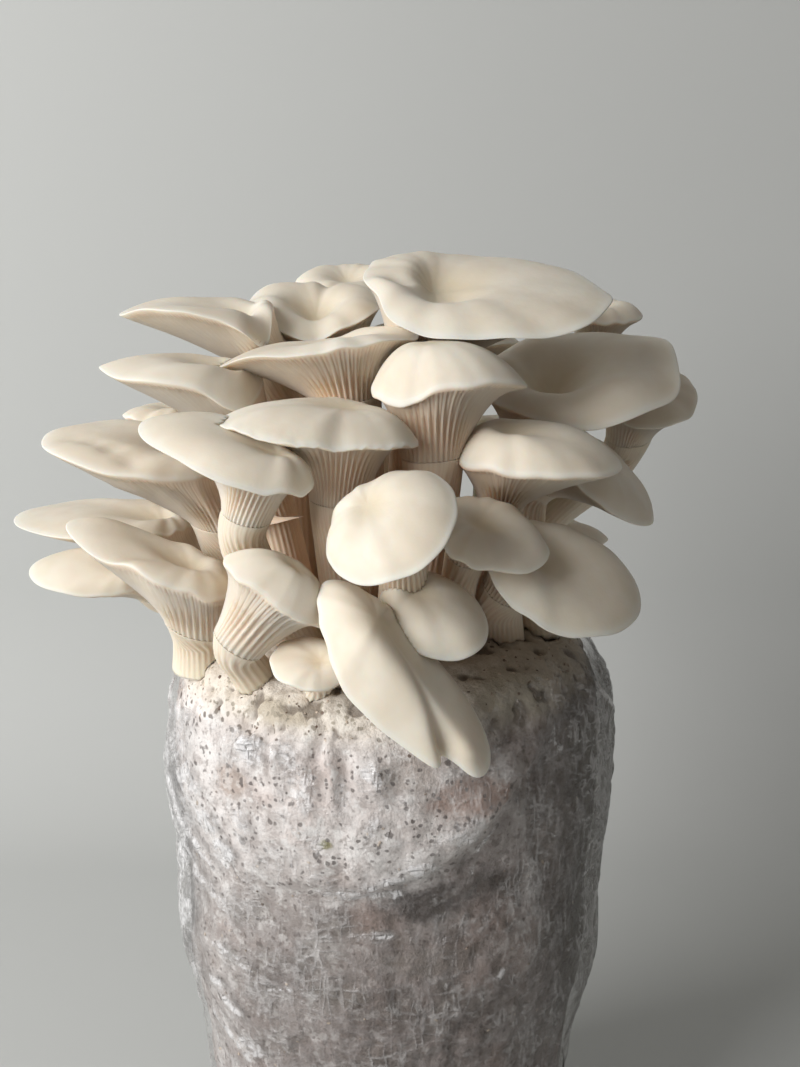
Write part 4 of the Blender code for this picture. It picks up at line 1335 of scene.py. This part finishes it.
def crumb_finish():
    """Husks and crumbs, from straw to nearly black."""
    material, tree, main = shader("Husk crumbs")
    tone = ramp(tree, noise_at(tree, 500.0, 1.0, 0.5, 3.0), 0.38, 0.62)
    color = mixed(tree, tone, (0.13, 0.085, 0.06), (0.62, 0.52, 0.42))
    tree.links.new(color, main.inputs["Base Color"])
    tree.links.new(plus(tree, times(tree, tone, 0.3), 0.5), main.inputs["Roughness"])
    return material


def film_finish(patch):
    """Thin milky film, clearer where it clings, white along its creases and cloudy where it stands off; the
    white holds painted glints and reflections, and its tint painted shade.
    """
    material, tree, main = shader("Clinging film")
    dull = attribute(tree, "dull")
    crest = ramp(tree, attribute(tree, "crest"), 0.25, 1.0)
    off = attribute(tree, "off")
    place = own_place(tree)
    lines = []
    for turn, size, w in (((0.0, 0.0, 0.0), (1.0, 1.0, 0.2), 2.0), ((0.0, 0.75, 0.0), (0.22, 1.0, 1.0), 6.0)):
        along = wired(tree, "ShaderNodeMapping", (("Vector", place), ("Rotation", turn), ("Scale", size)))
        streak = wired(tree, "ShaderNodeTexNoise", (
            ("Vector", along.outputs[0]), ("Scale", 230.0), ("Detail", 2.0), ("Roughness", 0.55), ("W", w)),
            noise_dimensions="4D").outputs[0]
        lines.append(ramp(tree, maths(tree, "ABSOLUTE", minus(tree, streak, 0.5)), 0.055, 0.0))
    streaks = maths(tree, "MAXIMUM", lines[0], lines[1])
    haze = noise_at(tree, 60.0, 4.0, 0.65, 4.0)
    gather = ramp(tree, haze, 0.48, 0.62)
    torn = ramp(tree, noise_at(tree, 320.0, 4.0, 0.65, 8.0), 0.40, 0.60)
    # White along the creases and on the listed folds: milky film together with painted glints.
    milk_and_glint = times(tree, crest, 0.55)
    rough = times(tree, minus(tree, noise_at(tree, 170.0, 4.0, 0.7), 0.5), 2.8)
    for centre, spread, strength in MILKY_AND_GLINTS:
        mask = ragged_patch(tree, patch, centre, spread, rough)
        milk_and_glint = maths(tree, "MAXIMUM", milk_and_glint, times(tree, mask, strength))
    # Painted reflection: the film on the left side, which faces the light, made white.
    across = wired(tree, "ShaderNodeSeparateXYZ", ((0, place),)).outputs[0]
    edge = times(tree, ramp(tree, across, -0.050, -0.070), ramp(tree, haze, 0.42, 0.56))
    milk_and_glint = maths(tree, "MAXIMUM", milk_and_glint, times(tree, edge, 0.62))
    milk_and_glint = times(tree, milk_and_glint, plus(tree, times(tree, torn, 0.8), 0.2))
    wisps = times(tree, streaks, gather, 0.16)
    alpha = plus(tree, times(tree, gather, 0.05), 0.06)
    alpha = plus(tree, alpha, maths(tree, "MAXIMUM", milk_and_glint, wisps))
    alpha = maths(tree, "ADD", alpha, times(tree, off, 0.62), clamp=True)
    tree.links.new(alpha, main.inputs["Alpha"])
    # Painted shade: the film's tint darker where the block is dull and shaded.
    shade = mixed(tree, dull, (0.80, 0.79, 0.785), (0.27, 0.255, 0.225))
    # The white: milky film with painted glints along the streaks and folds.
    pale = maths(tree, "MAXIMUM", ramp(tree, milk_and_glint, 0.05, 0.3), times(tree, streaks, 0.6))
    color = mixed(tree, pale, shade, (0.93, 0.92, 0.93))
    tree.links.new(color, main.inputs["Base Color"])
    relief = plus(tree, times(tree, streaks, 0.6), noise_at(tree, 200.0, 2.0, 0.6, 6.0))
    bump = wired(tree, "ShaderNodeBump", (("Height", relief), ("Strength", 0.8), ("Distance", 0.0012)))
    tree.links.new(bump.outputs[0], main.inputs["Normal"])
    tree.links.new(plus(tree, times(tree, haze, 0.2), 0.06), main.inputs["Roughness"])
    main.inputs["Specular IOR Level"].default_value = 0.7
    main.inputs["Coat Weight"].default_value = 0.5
    main.inputs["Coat Roughness"].default_value = 0.08
    return material


def stage_finish(name, color):
    """Plain matt ground, see-through from behind so that it never hides the object."""
    material, tree, main = shader(name)
    mottle = noise_at(tree, 3.0, 2.0)
    tree.links.new(mixed(tree, mottle, color, tuple(c * 1.04 for c in color)), main.inputs["Base Color"])
    main.inputs["Roughness"].default_value = 0.95
    behind = wired(tree, "ShaderNodeNewGeometry").outputs["Backfacing"]
    clear = wired(tree, "ShaderNodeBsdfTransparent").outputs[0]
    both = wired(tree, "ShaderNodeMixShader", ((0, behind), (1, main.outputs[0]), (2, clear)))
    tree.links.new(both.outputs[0], tree.nodes["Material Output"].inputs["Surface"])
    return material


# ---------------------------------------------------------------- putting it together

def keep_inside(obj):
    """Ease the outermost part of a piece in where it would leave the box that the solids fill."""
    points = points_of(obj.data)
    for axis in range(3):
        column = points[:, axis]
        middle = 0.5 * (column.min() + column.max())
        for limit, side in ((CAD_BOX[0][axis], -1.0), (CAD_BOX[1][axis], 1.0)):
            far = side * np.max(column * side)
            if far * side > limit * side:
                outer = (column - middle) * side > 0.0
                column[outer] = middle + (column[outer] - middle) * (limit - middle) / (far - middle)
    obj.data.vertices.foreach_set("co", points.ravel())
    obj.data.update()


def tree_of(obj, scale=1.0):
    """A search tree of an object's faces."""
    bm = bmesh.new()
    bm.from_mesh(obj.data)
    bm.transform(Matrix.Scale(scale, 4))
    tree = BVHTree.FromBMesh(bm)
    bm.free()
    return tree


def fold_skin(obj, folds, count, sharpness, unevenness, seed, finish):
    """Fold the gill side of a cap, or the side of a stem."""
    return shaped(obj, folds, **{
        "Fold Count": float(count), "Groove Depth": 1.0, "Crest Sharpness": sharpness,
        "Unevenness": unevenness, "Seed": float(seed), "Finish": finish})


def build_stem(name, row, number, folds, finish, ground):
    """One stem, forked where it carries two caps."""
    x, y, radius, first, second, split = row
    entry = CAPS[first]
    neck = entry["bell"][1]
    waist = min(neck, radius) * 0.88
    curve = stem_curve(entry, (x, y, radius))
    stem, flutes = build_stalk("mushroom_stem_" + name, entry, curve,
                               lambda t: waist + (neck - waist) * (1 - t) ** 5 + (radius - waist) * t * t,
                               number, ground)
    stem = fold_skin(stem, folds, flutes, 1.2, 0.8, number, finish)
    if second:
        branch = CAPS[second]
        thin, slim = branch["bell"][1], radius * 0.6
        fork = bezier(curve, split)[0]
        arm, flutes = build_stalk("arm", branch, arm_curve(branch, fork),
                                  lambda t: slim + (thin - slim) * (1 - t) ** 2, number + ARM_SEED)
        join_solids(stem, fold_skin(arm, folds, flutes, 1.2, 0.8, number + ARM_SEED, finish))
    return stem


def build_mushrooms(ground):
    """All stems and caps, with flutes and gills."""
    pattern, cluster_shade = flesh_group(), cluster_shade_group()
    cap_finish = flesh_finish("Cap flesh", False, pattern, cluster_shade)
    stem_finish = flesh_finish("Stem flesh", True, pattern, cluster_shade)
    folds = fold_tree()
    pieces = []
    for number, (name, row) in enumerate(STEMS.items()):
        pieces.append(build_stem(name, row, number, folds, stem_finish, ground))
    for number, (name, entry) in enumerate(CAPS.items()):
        obj, gills = build_cap(name, entry)
        pieces.append(fold_skin(obj, folds, gills, 1.6, 0.3, number, cap_finish))
    return pieces


def build_stage():
    """Pale floor and backdrop in one sweep, and a floor behind the backdrop for views from the back."""
    profile = [(SWEEP_FRONT, FLOOR_Z), (SWEEP_CORNER, FLOOR_Z)]
    for step in range(1, 13):
        a = math.radians(90.0 * step / 12)
        rise = SWEEP_RADIUS * (1 - math.cos(a))
        profile.append((SWEEP_CORNER + SWEEP_RADIUS * math.sin(a), FLOOR_Z + rise))
    profile.append((0.34, SWEEP_TOP))
    points = [(x, y, z) for x in (-SWEEP_HALF_WIDTH, SWEEP_HALF_WIDTH) for y, z in profile]
    n = len(profile)
    faces = [(i, i + n, i + n + 1, i + 1) for i in range(n - 1)]
    for x, y in ((-1, 0.2), (1, 0.2), (1, 1.6), (-1, 1.6)):
        points.append((x * SWEEP_HALF_WIDTH, y, 4 * FLOOR_Z))
    faces.append((2 * n, 2 * n + 1, 2 * n + 2, 2 * n + 3))
    mesh = bpy.data.meshes.new("sweep")
    mesh.from_pydata(points, [], faces)
    mesh.shade_smooth()
    mesh.materials.append(stage_finish("Pale ground", (0.56, 0.57, 0.56)))
    sweep = bpy.data.objects.new("pale_sweep", mesh)
    bpy.context.scene.collection.objects.link(sweep)


def build_light():
    """A soft window light low from the left and a weak grey surround."""
    data = bpy.data.lights.new("window", "AREA")
    data.shape = "RECTANGLE"
    data.size, data.size_y = WINDOW_SIZE
    data.energy = WINDOW_POWER
    data.color = (1.0, 0.995, 0.985)
    lamp = bpy.data.objects.new("window", data)
    lamp.location = WINDOW_PLACE
    target = Vector((0.0, 0.0, 0.25))
    lamp.rotation_euler = (target - Vector(WINDOW_PLACE)).to_track_quat("-Z", "Y").to_euler()
    bpy.context.scene.collection.objects.link(lamp)
    world = bpy.data.worlds.new("surround")
    world.use_nodes = True
    surround = world.node_tree.nodes["Background"].inputs
    surround[0].default_value = SURROUND_COLOR
    surround[1].default_value = SURROUND_STRENGTH
    bpy.context.scene.world = world
    bpy.context.scene.view_settings.view_transform = "Standard"


def build_camera():
    """The view of the photograph."""
    data = bpy.data.cameras.new("view")
    data.sensor_width = 36.0
    data.lens = FOCAL_PIXELS / FRAME_HEIGHT * data.sensor_width
    data.clip_start = 0.01
    data.clip_end = 10.0
    camera = bpy.data.objects.new("view", data)
    camera.location = CAMERA_PLACE
    camera.rotation_euler = (math.radians(90.0 - CAMERA_DOWN), 0.0, 0.0)
    bpy.context.scene.collection.objects.link(camera)
    bpy.context.scene.camera = camera


build_camera()
build_light()
build_stage()
patch = stain_group()
block = build_block(block_finish(patch), crumb_finish())
mushrooms = build_mushrooms(tree_of(block))
film = build_film(film_finish(patch))
for piece in mushrooms + [block, film]:
    keep_inside(piece)
part_pieces([block] + mushrooms + [film])

for piece in mushrooms:
    node = piece.name.removeprefix("mushroom_")
    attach(piece, "root")
    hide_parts(node)
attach(block, "root")
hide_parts("substrate")
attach(film, "root")
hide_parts("bag")
